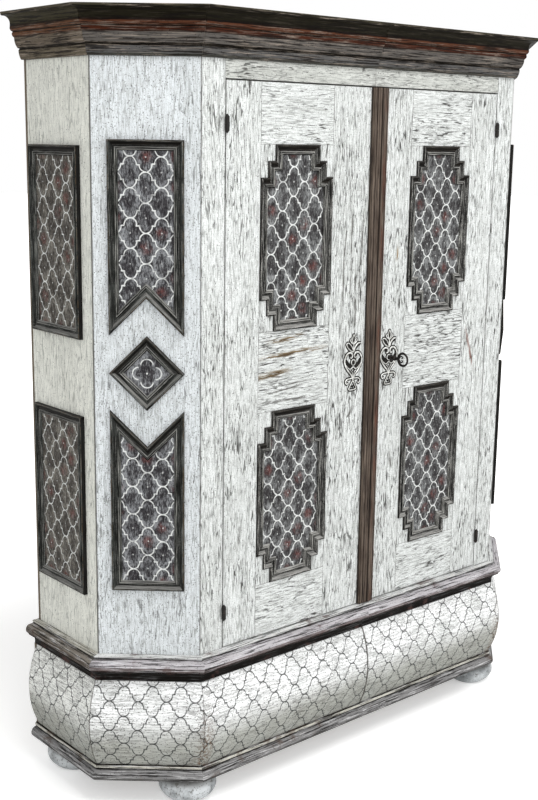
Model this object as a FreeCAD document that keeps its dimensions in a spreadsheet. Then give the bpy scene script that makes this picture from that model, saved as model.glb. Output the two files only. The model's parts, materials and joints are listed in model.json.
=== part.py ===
"""A painted two-door cupboard with canted corners, a bulged base and bun feet.

+Z is up and +X is to the right of somebody who stands in front of the doors. The front
looks along -Y. The origin is on the floor, at the middle of the cupboard's bounding box.
All lengths are in millimetres.

The cupboard divides in two at its middle, so the mouldings, the bulged base, the floor
and the top are made as a left half and its mirror image.
"""

import FreeCAD, Part
import math
import os
import re
import Sketcher

V = FreeCAD.Vector
doc = FreeCAD.newDocument("CantedCupboard")


# ---------------------------------------------------------------- driving dimensions

SIZES = {
    # the carcass in plan
    "case_width": 1504,           # across the two side boards
    "cant_run": 190,              # how far each canted corner runs sideways
    "cant_depth": 170,            # how far each canted corner runs back
    "case_depth": 463,            # front face to the back of the back boards
    "board_thickness": 22,        # side and canted boards
    "back_thickness": 12,         # back boards
    "moulding_clearance": 0.3,    # between a loose board and the moulding round it

    # the heights, from the floor up
    "foot_height": 68,
    "plinth_height": 42,
    "base_height": 229,           # the bulged boards
    "waist_height": 66,
    "case_height": 1447,          # side boards, stiles and back boards
    "cornice_height": 108,

    # how far each moulding stands out from the carcass faces
    "plinth_reach": 32,
    "base_edge_reach": 14,        # the bulged boards at their upper and lower edges
    "belly_rise": 28,             # how much further they bulge at half height
    "waist_reach": 43,
    "cornice_reach": 61,
    "frame_depth": 70,            # plinth and waist frames, inwards from the faces
    "frame_seat": 48,             # where the rebate for a floor board starts
    "back_rail_depth": 50,
    "cornice_seat": 11,           # part of the cornice that sits on the boards

    # feet
    "foot_radius": 75,
    "foot_sole_radius": 42,
    "foot_neck_radius": 56,
    "foot_setback": 55,           # front feet, behind the front face
    "foot_side_inset": 57,        # back feet, in from the side face
    "foot_back_inset": 83,
    "spigot_radius": 12,
    "spigot_clearance": 0.3,      # round the spigot
    "spigot_end_gap": 2,          # between the spigot's end and the bottom board

    # floors, top and shelves
    "bottom_thickness": 18,
    "floor_thickness": 20,
    "top_thickness": 20,
    "shelf_thickness": 20,
    "shelf_setback": 75,          # shelf front edge, behind the front face
    "shelf_clearance": 1,         # round the shelf's other edges
    "lower_shelf_height": 520,    # top of the lower shelf above the cupboard floor
    "shelf_spacing": 440,
    "cleat_height": 28,
    "cleat_width": 22,
    "back_cleat_length": 900,
    "batten_width": 64,           # battens across the middle seam
    "batten_thickness": 20,
    "back_board_count": 8,
    "back_board_bevel": 2.5,

    # front frame and doors
    "hanging_stile_width": 70,
    "frieze_height": 44,
    "door_thickness": 28,
    "door_gap": 3,                # round each door and between the two
    "hinge_stile_width": 107,
    "panel_width": 238,           # opening in the door frame
    "bottom_rail_height": 138,
    "middle_rail_height": 204,
    "top_rail_height": 145,
    "panel_setback": 6,           # field behind the door's face
    "panel_thickness": 10,
    "groove_depth": 9,
    "tongue_length": 8,
    "groove_clearance": 0.2,
    "step_width": 23,             # the stepped corners of the door panels
    "step_height": 39.5,

    # the raised frames round the painted fields
    "moulding_width": 25,
    "moulding_height": 11,
    "moulding_lap": 8,            # a frame's foot outside the field board
    "field_thickness": 3,
    "cant_panel_width": 178,
    "cant_panel_reach": 545,      # far end of an arrow panel from the diamond's centre
    "cant_panel_tip": 91,         # its two points from the diamond's centre
    "diamond_height": 1122,       # the diamond's centre above the floor
    "diamond_half": 90,
    "side_panel_width": 221,
    "side_panel_height": 457,
    "side_panel_inset": 45,       # from the canted corner
    "side_panel_base": 548,       # lower side panel's lower edge above the floor
    "side_panel_gap": 190,        # between the two side panels

    # meeting bar, hinges, bolts
    "bar_width": 44,
    "bead_width": 11,             # of the strip beside the bar, on the left door
    "bar_height": 13,
    "hinge_radius": 5.5,
    "hinge_half": 16,             # one half of the barrel
    "finial_length": 7,
    "pin_radius": 2.8,
    "pin_length": 13,
    "pin_clearance": 0.08,
    "leaf_length": 60,
    "leaf_depth": 23,
    "leaf_thickness": 1.2,
    "leaf_gap": 0.4,              # between the two closed leaves
    "lower_hinge_inset": 94,      # hinge centre from the door's lower edge
    "upper_hinge_inset": 99,
    "bolt_half_width": 5,         # the bolts are square bars
    "bolt_length": 170,
    "bolt_travel": 20,
    "bolt_inset": 40,             # from the cupboard's middle
    "bolt_setback": 5,            # bolt end inside the door's edge at rest
    "bolt_plate_width": 36,
    "bolt_plate_length": 150,
    "bolt_plate_thickness": 3,
    "staple_width": 18,
    "staple_height": 12,
    "staple_cover": 3,            # iron that closes a staple over its bolt
    "bolt_clearance": 0.1,
    "bolt_lift": 0.3,             # between the bolt and its plate
    "bolt_knob_radius": 4,
    "bolt_knob_length": 20,
    "bolt_end_room": 2,           # below a thrown bolt
    "bolt_hole_half_width": 6,

    # escutcheons, lock and key
    "escutcheon_height": 150,
    "escutcheon_width": 66,
    "escutcheon_thickness": 2.5,
    "left_escutcheon_inset": 52,  # from the cupboard's middle
    "key_inset": 84,
    "key_height": 1096,           # above the floor
    "key_radius": 4,
    "key_shank": 33,              # from the door's face to the bow
    "bow_radius": 20,
    "bow_wire": 3,
    "keyhole_radius": 5,
    "bit_length": 17,             # from the key's axis
    "bit_width": 9,
    "bit_thickness": 3,
    "lock_length": 125,
    "lock_below": 24,             # case below and above the key's axis
    "lock_above": 38,
    "lock_depth": 22,
    "lock_wall": 2,
    "lock_inset": 3.5,            # case from the cupboard's middle
    "lock_bolt_length": 112,
    "lock_bolt_low": 13,          # bolt's lower edge above the key's axis
    "lock_bolt_height": 17,
    "lock_bolt_thickness": 8,
    "lock_bolt_travel": 14,
    "lock_bolt_clearance": 0.4,
}

# Sizes that follow from the ones above. Names on the left may be used in any formula.
WORKED = {
    # holes that take the thrown bolts
    "bolt_hole_depth": "bolt_travel - bolt_setback + bolt_end_room",
    "keeper_length": "lock_bolt_travel + 5 * lock_wall",
    # the flat front, between the two canted corners
    "front_width": "case_width - 2 * cant_run",
    "cant_length": "sqrt(cant_run ^ 2 + cant_depth ^ 2)",
    # a mitre at a canted corner moves sideways or forwards by these shares of its reach
    "front_mitre": "(cant_length - cant_run) / cant_depth",
    "side_mitre": "(cant_length - cant_depth) / cant_run",
    "key_reach": "key_shank + 2 * bow_radius",
    "front_reach": "max(cornice_reach; key_reach)",
    "socket_depth": "plinth_height - bottom_thickness",
    "face_y": "(front_reach - case_depth) / 2",
    "back_y": "(front_reach + case_depth) / 2",
    "corner_x": "-front_width / 2",
    "side_x": "-case_width / 2",
    "cant_back_y": "face_y + cant_depth",
    "base_bottom": "foot_height + plinth_height",
    "waist_bottom": "base_bottom + base_height",
    "case_bottom": "waist_bottom + waist_height",
    "case_top": "case_bottom + case_height",
    "cornice_top": "case_top + cornice_height",
    "opening_x": "corner_x + hanging_stile_width",
    "door_x": "opening_x + door_gap",
    "door_bottom": "case_bottom + door_gap",
    "door_top": "case_top - frieze_height - door_gap",
    "door_height": "door_top - door_bottom",
    "panel_x": "door_x + hinge_stile_width",
    "panel_centre_x": "panel_x + panel_width / 2",
    "meeting_x": "-door_gap / 2",
    "meeting_stile_width": "meeting_x - panel_x - panel_width",
    "rails_height": "bottom_rail_height + middle_rail_height + top_rail_height",
    "panel_height": "(door_height - rails_height) / 2",
    "upper_panel_bottom": "bottom_rail_height + panel_height + middle_rail_height",
    "groove_front": "panel_setback - groove_clearance",
    "groove_back": "panel_setback + panel_thickness + groove_clearance",
    "door_back_y": "face_y + door_thickness",
    "hinge_y": "face_y - hinge_radius - 0.5",
    "bolt_y": "door_back_y + bolt_plate_thickness + bolt_half_width + bolt_lift",
    "lock_middle_y": "door_back_y + lock_depth / 2",
    "cant_turn": "-atan(cant_depth / cant_run)",
    "cant_middle_x": "corner_x - cant_run / 2",
    "cant_middle_y": "face_y + cant_depth / 2",
    "arrow_height": "cant_panel_reach - cant_panel_tip",
    "arrow_middle": "(cant_panel_reach + cant_panel_tip) / 2",
}

sheet = doc.addObject("Spreadsheet::Sheet", "Sizes")
for row, (alias, size) in enumerate(SIZES.items(), start=1):
    sheet.set(f"A{row}", alias)
    sheet.set(f"B{row}", str(size))
    sheet.setAlias(f"B{row}", alias)
doc.recompute()


# ---------------------------------------------------------------- small helpers

def formula(text):
    """Write the names of sizes in `text` as one expression on the spreadsheet."""
    def swap(match):
        word = match.group(0)
        if word in SIZES:
            return "Sizes." + word
        if word in WORKED:
            return "(" + formula(WORKED[word]) + ")"
        return word
    return re.sub(r"[a-z][a-z_0-9]*", swap, str(text))


def number(text):
    """Value of a formula now, in millimetres or degrees."""
    answer = sheet.evalExpression(formula(text))
    return float(getattr(answer, "Value", answer))


def body_at(label, x="0", y="0", z="0", turn=None):
    """A PartDesign body whose place, and turn about Z, follow the sheet."""
    body = doc.addObject("PartDesign::Body", label)
    body.Label = label
    if turn:
        body.Placement = FreeCAD.Placement(V(), FreeCAD.Rotation(V(0, 0, 1), 1))
        body.setExpression("Placement.Rotation.Angle", formula(turn))
    for axis, text in zip("xyz", (x, y, z)):
        body.setExpression("Placement.Base." + axis, formula(text))
    return body


def sketch_on(body, role, x="0", y="0", z="0", turn=None):
    """A sketch on one of the body's own planes, moved within the plane's frame.

    `turn` is (axis, degrees): it tilts a sketch that has to cross a slanting path.
    """
    sketch = body.newObject("Sketcher::SketchObject", body.Name + "_sketch")
    plane = next(f for f in body.Origin.OriginFeatures if f.Role == role)
    sketch.AttachmentSupport = (plane, [""])
    sketch.MapMode = "FlatFace"
    if turn:
        sketch.AttachmentOffset = FreeCAD.Placement(V(), FreeCAD.Rotation(*turn))
    for axis, text in zip("xyz", (x, y, z)):
        if text != "0":
            sketch.setExpression("AttachmentOffset.Base." + axis, formula(text))
    return sketch


def arc_between(start, end, rise):
    """Arc from start to end that stands `rise` off its chord, to the right of travel."""
    chord = end - start
    right = V(chord.y, -chord.x, 0).normalize()
    radius = chord.Length ** 2 / (8 * abs(rise)) + abs(rise) / 2
    centre = (start + end) / 2 + right * (rise - math.copysign(radius, rise))
    first, last = (start, end) if rise > 0 else (end, start)
    first_angle = math.atan2(first.y - centre.y, first.x - centre.x)
    last_angle = math.atan2(last.y - centre.y, last.x - centre.x)
    if last_angle < first_angle:
        last_angle += 2 * math.pi
    return Part.ArcOfCircle(Part.Circle(centre, V(0, 0, 1), radius), first_angle, last_angle)


def hold(sketch, kind, where, text):
    """Add a dimension to the sketch and bind it to the sheet."""
    index = sketch.addConstraint(Sketcher.Constraint(kind, *where, number(text)))
    sketch.setExpression(f"Constraints[{index}]", formula(text))


def trace(sketch, corners):
    """Closed outline through `corners`: (x, y), or (x, y, rise) where an arc follows.

    Every corner is dimensioned from the sketch's origin and every arc by its radius.
    """
    places = [V(number(c[0]), number(c[1]), 0) for c in corners]
    ends = []
    for i, corner in enumerate(corners):
        start, end = places[i], places[(i + 1) % len(corners)]
        rise = number(corner[2]) if len(corner) == 3 else 0
        if rise:
            shape = arc_between(start, end, rise)
            ends.append((1, 2) if rise > 0 else (2, 1))
        else:
            shape = Part.LineSegment(start, end)
            ends.append((1, 2))
        sketch.addGeometry(shape, False)
    first = sketch.GeometryCount - len(corners)
    for i, corner in enumerate(corners):
        after = (i + 1) % len(corners)
        joint = ("Coincident", first + i, ends[i][1], first + after, ends[after][0])
        sketch.addConstraint(Sketcher.Constraint(*joint))
        hold(sketch, "DistanceX", (-1, 1, first + i, ends[i][0]), corner[0])
        hold(sketch, "DistanceY", (-1, 1, first + i, ends[i][0]), corner[1])
        if len(corner) == 3:
            next_x, next_y = corners[after][:2]
            chord = f"((({next_x}) - ({corner[0]})) ^ 2 + (({next_y}) - ({corner[1]})) ^ 2)"
            radius = f"{chord} / (8 * abs({corner[2]})) + abs({corner[2]}) / 2"
            hold(sketch, "Radius", (first + i,), radius)
    return sketch


def ring(sketch, x, y, radius):
    """A circle in a sketch, held by its centre and radius."""
    middle = V(number(x), number(y), 0)
    index = sketch.addGeometry(Part.Circle(middle, V(0, 0, 1), number(radius)), False)
    hold(sketch, "DistanceX", (-1, 1, index, 3), x)
    hold(sketch, "DistanceY", (-1, 1, index, 3), y)
    hold(sketch, "Radius", (index,), radius)


def pad(body, sketch, length, symmetric=False):
    """Pad a sketch, to the side its plane looks to or to both sides."""
    feature = body.newObject("PartDesign::Pad", body.Name + "_pad")
    feature.Profile = sketch
    if symmetric:
        feature.SideType = "Symmetric"
    feature.setExpression("Length", formula(length))
    return feature


def pocket_through(body, sketch):
    """Cut a sketch through the whole body, both ways."""
    feature = body.newObject("PartDesign::Pocket", body.Name + "_pocket")
    feature.Profile = sketch
    feature.Type = "ThroughAll"
    feature.SideType = "Symmetric"
    return feature


def revolve(body, sketch):
    """Turn a sketch round the vertical axis of its own plane."""
    feature = body.newObject("PartDesign::Revolution", body.Name + "_turning")
    feature.Profile = sketch
    feature.ReferenceAxis = (sketch, ["V_Axis"])
    feature.Angle = 360
    return feature


def mirror(label, source):
    """The same piece on the other side of the cupboard's middle."""
    image = doc.addObject("Part::Mirroring", label)
    image.Label = label
    image.Source = source
    image.Base = V(0, 0, 0)
    image.Normal = V(1, 0, 0)
    return image


def group(label, pieces):
    """Several separate solids under one name."""
    compound = doc.addObject("Part::Compound", label)
    compound.Label = label
    compound.Links = pieces
    return compound


def boolean(kind, label, base, tool):
    """Part::Cut or Part::Common of two shapes."""
    result = doc.addObject("Part::" + kind, label)
    result.Label = label
    result.Base = base
    result.Tool = tool
    return result


def fuse(label, pieces):
    """One solid from pieces that overlap."""
    result = doc.addObject("Part::MultiFuse", label)
    result.Label = label
    result.Shapes = pieces
    return result


def place(shape, x, y, z):
    """Bind a primitive's position to the sheet."""
    for axis, text in zip("xyz", (x, y, z)):
        shape.setExpression("Placement.Base." + axis, formula(text))
    return shape


def box(label, low, size):
    """Part::Box from its low corner and its three sizes."""
    shape = doc.addObject("Part::Box", label)
    for side, text in zip(("Length", "Width", "Height"), size):
        shape.setExpression(side, formula(text))
    return place(shape, *low)


def cylinder(label, centre, radius, height, along=V(0, 0, 1)):
    """Part::Cylinder from the middle of its first end, running along an axis."""
    shape = doc.addObject("Part::Cylinder", label)
    shape.setExpression("Radius", formula(radius))
    shape.setExpression("Height", formula(height))
    shape.Placement = FreeCAD.Placement(V(), FreeCAD.Rotation(V(0, 0, 1), along))
    return place(shape, *centre)


def square_bar(label, bottom, half_width, height):
    """Upright square bar on the line of the left door's bolts."""
    side = f"2 * ({half_width})"
    return box(label, (f"-bolt_inset - ({half_width})", f"bolt_y - ({half_width})", bottom),
               (side, side, height))


def opposite(corners):
    """Mirror image of plan corners, in the order that closes the outline."""
    return [(f"-({x})", y) for x, y in reversed(corners)]


nodes = []


def keep(*pieces):
    """Put finished sub-parts on the list that is checked and exported."""
    nodes.extend(pieces)
    return pieces[0]


def keep_pair(label, left):
    """Keep a left piece and its mirror image as LABEL_left and LABEL_right."""
    left.Label = label + "_left"
    return keep(left, mirror(label + "_right", left))


# ---------------------------------------------------------------- the plan of the corners

def front_corner(reach):
    """Where front and canted faces meet, when both stand out by `reach`."""
    return (f"corner_x - front_mitre * ({reach})", f"face_y - ({reach})")


def side_corner(reach):
    """Where side and canted faces meet, when both stand out by `reach`."""
    return (f"side_x - ({reach})", f"cant_back_y - side_mitre * ({reach})")


OUTER = "2 * front_reach"         # beyond every moulding
INNER = "2 * frame_depth"         # inside every moulding


def mitre_cutter(label, corners):
    """A tall prism that keeps one length of a moulding, between its mitres."""
    body = body_at(label)
    pad(body, trace(sketch_on(body, "XY_Plane"), corners), "cornice_top")
    return body


def side_cutter(label, end_y):
    """The prism for a return along the side, which stops at `end_y`."""
    return mitre_cutter(label, [
        (f"side_x - {OUTER}", end_y),
        side_corner(OUTER),
        side_corner(f"-{INNER}"),
        (f"side_x + {INNER}", end_y),
    ])


front_length = mitre_cutter("front_length", [
    front_corner(OUTER),
    ("0", f"face_y - {OUTER}"),
    ("0", f"face_y + {INNER}"),
    front_corner(f"-{INNER}"),
])
cant_length = mitre_cutter("cant_length", [
    side_corner(OUTER),
    front_corner(OUTER),
    front_corner(f"-{INNER}"),
    side_corner(f"-{INNER}"),
])
side_length = side_cutter("side_length", "back_y")
short_side_length = side_cutter("short_side_length", "back_y - back_thickness")

# each run of a moulding: a point on its face line, the turn that faces it outwards
FRONT_RUN = ("front", "corner_x", "face_y", "180 deg", front_length)
CANT_RUN = ("cant", "corner_x", "face_y", "180 deg + cant_turn", cant_length)
SIDE_RUN = ("side", "side_x", "cant_back_y", "90 deg", side_length)
SHORT_SIDE_RUN = ("side", "side_x", "cant_back_y", "90 deg", short_side_length)


def moulding(label, profile, bottom, side_run=SIDE_RUN):
    """Three mitred lengths of one profile round the left half.

    The profile's x is the reach out of the carcass face and its y is the height.
    """
    lengths = []
    for run, x, y, turn, cutter in (FRONT_RUN, CANT_RUN, side_run):
        stock = body_at(f"{label}_{run}_stock", x, y, bottom, turn)
        section = trace(sketch_on(stock, "YZ_Plane"), profile)
        pad(stock, section, "2 * (front_width + case_depth)", symmetric=True)
        lengths.append(boolean("Common", f"{label}_{run}", stock, cutter))
    return group(label + "_left", lengths)


def plan_board(label, corners, bottom, thickness):
    """A flat piece, drawn in plan and padded upwards."""
    body = body_at(label, z=bottom)
    pad(body, trace(sketch_on(body, "XY_Plane"), corners), thickness)
    return body


def shares(steps, reach, height):
    """Profile corners given as shares of a moulding's reach and height."""
    corners = []
    for out, up, *rise in steps:
        place_of = (f"{out} * {reach}", f"{up} * {height}")
        corners.append(place_of + tuple(f"{share} * {reach}" for share in rise))
    return corners


# ---------------------------------------------------------------- base: feet and plinth

def bun_foot(label, x, y):
    """A flattened turned bun with a spigot that plugs into the plinth."""
    body = body_at(label, x, y, "0")
    spigot_top = "foot_height + socket_depth - spigot_end_gap"
    section = trace(sketch_on(body, "XZ_Plane"), [
        ("0", "0"),
        ("foot_sole_radius", "0"),
        ("foot_radius", "0.36 * foot_height"),
        ("foot_radius", "0.62 * foot_height"),
        ("foot_neck_radius", "foot_height"),
        ("spigot_radius", "foot_height"),
        ("spigot_radius", spigot_top),
        ("0", spigot_top),
    ])
    revolve(body, section)
    return body


FOOT_PLACES = {
    "front_foot": ("corner_x + 3", "face_y + foot_setback"),
    "back_foot": ("side_x + foot_side_inset", "back_y - foot_back_inset"),
}
left_feet = [bun_foot(name, *spot) for name, spot in FOOT_PLACES.items()]
right_feet = [mirror(foot.Name + "_right", foot) for foot in left_feet]
keep(group("bun_feet", left_feet + right_feet))

# torus below, a narrow bead above, and a rebate inside for the bottom board
plinth = moulding("plinth_blank", [
    ("-frame_depth", "0"),
    ("0.56 * plinth_reach", "0", "0.44 * plinth_reach"),
    ("0.56 * plinth_reach", "0.7 * plinth_height"),
    ("0.44 * plinth_reach", "0.74 * plinth_height"),
    ("0.47 * plinth_reach", "plinth_height"),
    ("-frame_seat", "plinth_height"),
    ("-frame_seat", "plinth_height - bottom_thickness"),
    ("-frame_depth", "plinth_height - bottom_thickness"),
], "foot_height")
sockets = group("foot_sockets", [
    cylinder(name + "_socket", spot + ("foot_height",),
             "spigot_radius + spigot_clearance", "socket_depth")
    for name, spot in FOOT_PLACES.items()
])
keep_pair("plinth_moulding", boolean("Cut", "plinth_moulding_left", plinth, sockets))


def floor_half(label, top, thickness):
    """Left half of a board that drops into a frame's rebate."""
    seat = "-(frame_seat + moulding_clearance)"
    back = "back_y - back_rail_depth + frame_depth - frame_seat - moulding_clearance"
    return plan_board(label, [
        front_corner(seat),
        ("0", "face_y + frame_seat + moulding_clearance"),
        ("0", back),
        ("side_x + frame_seat + moulding_clearance", back),
        side_corner(seat),
    ], f"{top} - {thickness}", thickness)


def seamed_board(label, half):
    """A board in two halves that meet at the cupboard's middle."""
    return keep(group(label, [half, mirror(label + "_other_half", half)]))


seamed_board("bottom_board", floor_half("bottom_half", "base_bottom", "bottom_thickness"))


# ---------------------------------------------------------------- base: bulged boards

keep_pair("bulged_base", moulding("bulged_base", [
    ("base_edge_reach", "0", "belly_rise"),
    ("base_edge_reach", "base_height"),
    ("base_edge_reach - board_thickness", "base_height", "-belly_rise"),
    ("base_edge_reach - board_thickness", "0"),
], "base_bottom", SHORT_SIDE_RUN))


# ---------------------------------------------------------------- waist moulding

# cove below, a large torus, a quirk and a fillet, and a rebate inside for the floor
waist = moulding("waist_blank", [
    ("-frame_depth", "0"),
    ("base_edge_reach", "0", "-0.2 * waist_reach"),
    ("0.8 * waist_reach", "0.45 * waist_height"),
    ("0.68 * waist_reach", "0.48 * waist_height", "0.32 * waist_reach"),
    ("0.6 * waist_reach", "0.9 * waist_height"),
    ("0.42 * waist_reach", "0.91 * waist_height"),
    ("0.42 * waist_reach", "waist_height"),
    ("-frame_seat", "waist_height"),
    ("-frame_seat", "waist_height - floor_thickness"),
    ("-frame_depth", "waist_height - floor_thickness"),
], "waist_bottom")
floor_bolt_hole = square_bar("floor_bolt_hole", "case_bottom - bolt_hole_depth",
                             "bolt_hole_half_width", "bolt_hole_depth + 1")
waist_left = boolean("Cut", "waist_moulding_left", waist, floor_bolt_hole)
keep(waist_left, mirror("waist_moulding_right", waist))

seamed_board("cupboard_floor", floor_half("floor_half", "case_bottom", "floor_thickness"))


def back_rail(label, bottom, height, rebate):
    """Left half of the rail that closes a frame at the back."""
    body = body_at(label, "side_x + frame_depth", "back_y", bottom)
    ledge = "-(back_rail_depth - frame_depth + frame_seat)"
    section = trace(sketch_on(body, "YZ_Plane"), [
        ("0", "0"),
        ("0", height),
        (ledge, height),
        (ledge, f"{height} - {rebate}"),
        ("-back_rail_depth", f"{height} - {rebate}"),
        ("-back_rail_depth", "0"),
    ])
    pad(body, section, "-(side_x + frame_depth)")
    return body


base_back_board = plan_board("base_back_board", [
    ("side_x - base_edge_reach", "back_y - back_thickness"),
    ("0", "back_y - back_thickness"),
    ("0", "back_y"),
    ("side_x - base_edge_reach", "back_y"),
], "base_bottom", "base_height")
back_pieces = [
    back_rail("plinth_back_rail", "foot_height", "plinth_height", "bottom_thickness"),
    base_back_board,
    back_rail("waist_back_rail", "waist_bottom", "waist_height", "floor_thickness"),
]
keep(group("base_back", back_pieces + [mirror(p.Name + "_right", p) for p in back_pieces]))


# ---------------------------------------------------------------- case boards

keep_pair("side_board", plan_board("side_board", [
    side_corner("0"),
    side_corner("-board_thickness"),
    ("side_x + board_thickness", "back_y - back_thickness"),
    ("side_x", "back_y - back_thickness"),
], "case_bottom", "case_height"))

keep_pair("canted_board", plan_board("canted_board", [
    side_corner("0"),
    front_corner("0"),
    front_corner("-board_thickness"),
    side_corner("-board_thickness"),
], "case_bottom", "case_height"))

keep_pair("hanging_stile", plan_board("hanging_stile", [
    front_corner("0"),
    ("opening_x", "face_y"),
    ("opening_x", "door_back_y"),
    front_corner("-door_thickness"),
], "case_bottom", "case_height"))

keep_pair("frieze", plan_board("frieze", [
    ("opening_x", "face_y"),
    ("0", "face_y"),
    ("0", "door_back_y"),
    ("opening_x", "door_back_y"),
], "case_top - frieze_height", "frieze_height"))


def back_plank(number_from_left):
    """One upright plank of the back, with its two outer arrises bevelled."""
    width = "(-2 * side_x / back_board_count)"
    body = body_at(f"back_plank_{number_from_left}",
                   f"side_x + {number_from_left} * {width}", "back_y", "case_bottom")
    section = trace(sketch_on(body, "XY_Plane"), [
        ("0", "-back_thickness"),
        (width, "-back_thickness"),
        (width, "-back_board_bevel"),
        (f"{width} - back_board_bevel", "0"),
        ("back_board_bevel", "0"),
        ("0", "-back_board_bevel"),
    ])
    pad(body, section, "case_height")
    return body


keep(group("back_boards", [back_plank(i) for i in range(int(number("back_board_count")))]))

top_edge = "-(cornice_seat + moulding_clearance)"
seamed_board("top_board", plan_board("top_half", [
    front_corner(top_edge),
    ("0", "face_y + cornice_seat + moulding_clearance"),
    ("0", "back_y"),
    ("side_x + cornice_seat + moulding_clearance", "back_y"),
    side_corner(top_edge),
], "case_top", "top_thickness"))


def batten(label, bottom, front_inset, back_inset):
    """A batten across the seam between the two halves."""
    return plan_board(label, [
        ("-batten_width / 2", f"face_y + {front_inset}"),
        ("batten_width / 2", f"face_y + {front_inset}"),
        ("batten_width / 2", f"back_y - {back_inset}"),
        ("-batten_width / 2", f"back_y - {back_inset}"),
    ], bottom, "batten_thickness")


keep(group("joining_battens", [
    batten("bottom_batten", "base_bottom - bottom_thickness - batten_thickness",
           "frame_depth", "back_rail_depth"),
    batten("floor_batten", "case_bottom - floor_thickness - batten_thickness",
           "frame_depth", "back_rail_depth"),
    batten("top_batten", "case_top + top_thickness", "board_thickness", "board_thickness"),
]))


# ---------------------------------------------------------------- cornice

# two grey bands with a quirk between, two red ones, then a cavetto under the top fillet
cornice_steps = [
    (0.11, 0.0), (0.22, 0.21), (0.17, 0.235), (0.26, 0.25, 0.04), (0.40, 0.47),
    (0.44, 0.485), (0.49, 0.575), (0.45, 0.59), (0.50, 0.605), (0.58, 0.70),
    (0.58, 0.73, -0.12), (0.90, 0.92), (0.97, 0.93), (1.0, 1.0),
]
cornice = moulding("cornice", shares(cornice_steps, "cornice_reach", "cornice_height") + [
    ("0.35 * cornice_reach", "cornice_height"),
    ("-cornice_seat", "0.6 * cornice_height"),
    ("-cornice_seat", "0"),
], "case_top")
keep_pair("cornice", cornice)


# ---------------------------------------------------------------- shelves

# the shelf's front edge crosses the canted boards at this distance from the middle
shelf_gap = "board_thickness + shelf_clearance"
shelf_front_x = (f"corner_x + front_mitre * ({shelf_gap})"
                 f" - (shelf_setback - ({shelf_gap})) * cant_run / cant_depth")
shelf_left_edge = [
    (f"side_x + {shelf_gap}", "back_y - back_thickness - shelf_clearance"),
    side_corner(f"-({shelf_gap})"),
    (shelf_front_x, "face_y + shelf_setback"),
]
SHELF_TOPS = {
    "lower": "case_bottom + lower_shelf_height",
    "upper": "case_bottom + lower_shelf_height + shelf_spacing",
}
keep(group("shelves", [
    plan_board(level + "_shelf", shelf_left_edge + opposite(shelf_left_edge),
               f"{top} - shelf_thickness", "shelf_thickness")
    for level, top in SHELF_TOPS.items()
]))

cleats = []
for level, top in SHELF_TOPS.items():
    low_z = f"{top} - shelf_thickness - cleat_height"
    side_cleat = box(level + "_side_cleat",
                     ("side_x + board_thickness", "cant_back_y + cleat_width", low_z),
                     ("cleat_width", "back_y - back_thickness - cant_back_y - cleat_width",
                      "cleat_height"))
    back_cleat = box(level + "_back_cleat",
                     ("-back_cleat_length / 2", "back_y - back_thickness - cleat_width",
                      low_z),
                     ("back_cleat_length", "cleat_width", "cleat_height"))
    cleats += [side_cleat, mirror(level + "_side_cleat_right", side_cleat), back_cleat]
keep(group("shelf_cleats", cleats))


# ---------------------------------------------------------------- raised frames and fields

def frame_profile(lap):
    """Section of a raised frame: outer edge at x = 0, inwards is -x, -y stands out.

    With a lap, the inner part is rebated to hold down the edge of a thin field board.
    """
    outside = [
        ("0", "0"),
        ("0", "-0.85 * moulding_height"),
        ("-0.08 * moulding_width", "-moulding_height"),
        ("-0.22 * moulding_width", "-moulding_height"),
        ("-0.3 * moulding_width", "-0.86 * moulding_height"),
        ("-0.7 * moulding_width", "-0.5 * moulding_height"),
        ("-0.74 * moulding_width", "-0.6 * moulding_height"),
        ("-0.88 * moulding_width", "-0.58 * moulding_height"),
        ("-moulding_width", "-0.42 * moulding_height"),
    ]
    if not lap:
        return outside + [("-moulding_width", "0")]
    return outside + [
        ("-moulding_width", "-field_thickness"),
        ("-moulding_lap", "-field_thickness"),
        ("-moulding_lap", "0"),
    ]


def raised_frame(label, path, x, y, z, turn=None, lap=True, slant=0):
    """Mitred frame swept round a closed path that starts in the middle of an edge.

    The path is the frame's outer edge, seen from the front. `slant` is the angle of the
    starting edge from the vertical.
    """
    body = body_at(label, x, y, z, turn)
    spine = trace(sketch_on(body, "XZ_Plane"), path)
    tilt = (V(0, 1, 0), -slant) if slant else None
    section = sketch_on(body, "XY_Plane", x=path[0][0], z=path[0][1], turn=tilt)
    trace(section, frame_profile(lap))
    sweep = body.newObject("PartDesign::AdditivePipe", label + "_sweep")
    sweep.Profile = section
    sweep.Spine = (spine, [f"Edge{i + 1}" for i in range(len(path))])
    sweep.Transition = "Right corner"
    return body


def field(label, corners, x, y, z, turn=None, thickness="field_thickness"):
    """A flat painted board, drawn as seen from the front and padded outwards."""
    body = body_at(label, x, y, z, turn)
    pad(body, trace(sketch_on(body, "XZ_Plane"), corners), thickness)
    return body


def rectangle(width, height):
    """Four corners round the origin, from the lower right, anticlockwise."""
    half_width, half_height = f"({width}) / 2", f"({height}) / 2"
    return [
        (half_width, f"-{half_height}"), (half_width, half_height),
        (f"-{half_width}", half_height), (f"-{half_width}", f"-{half_height}"),
    ]


def flip(corners):
    """The same outline upside down, still anticlockwise."""
    return [(x, f"-({z})") for x, z in reversed(corners)]


def starting_mid_edge(corners):
    """Add the point at z = 0 of the right-hand edge and start the path there."""
    return [(corners[0][0], "0")] + corners[1:] + corners[:1]


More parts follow.
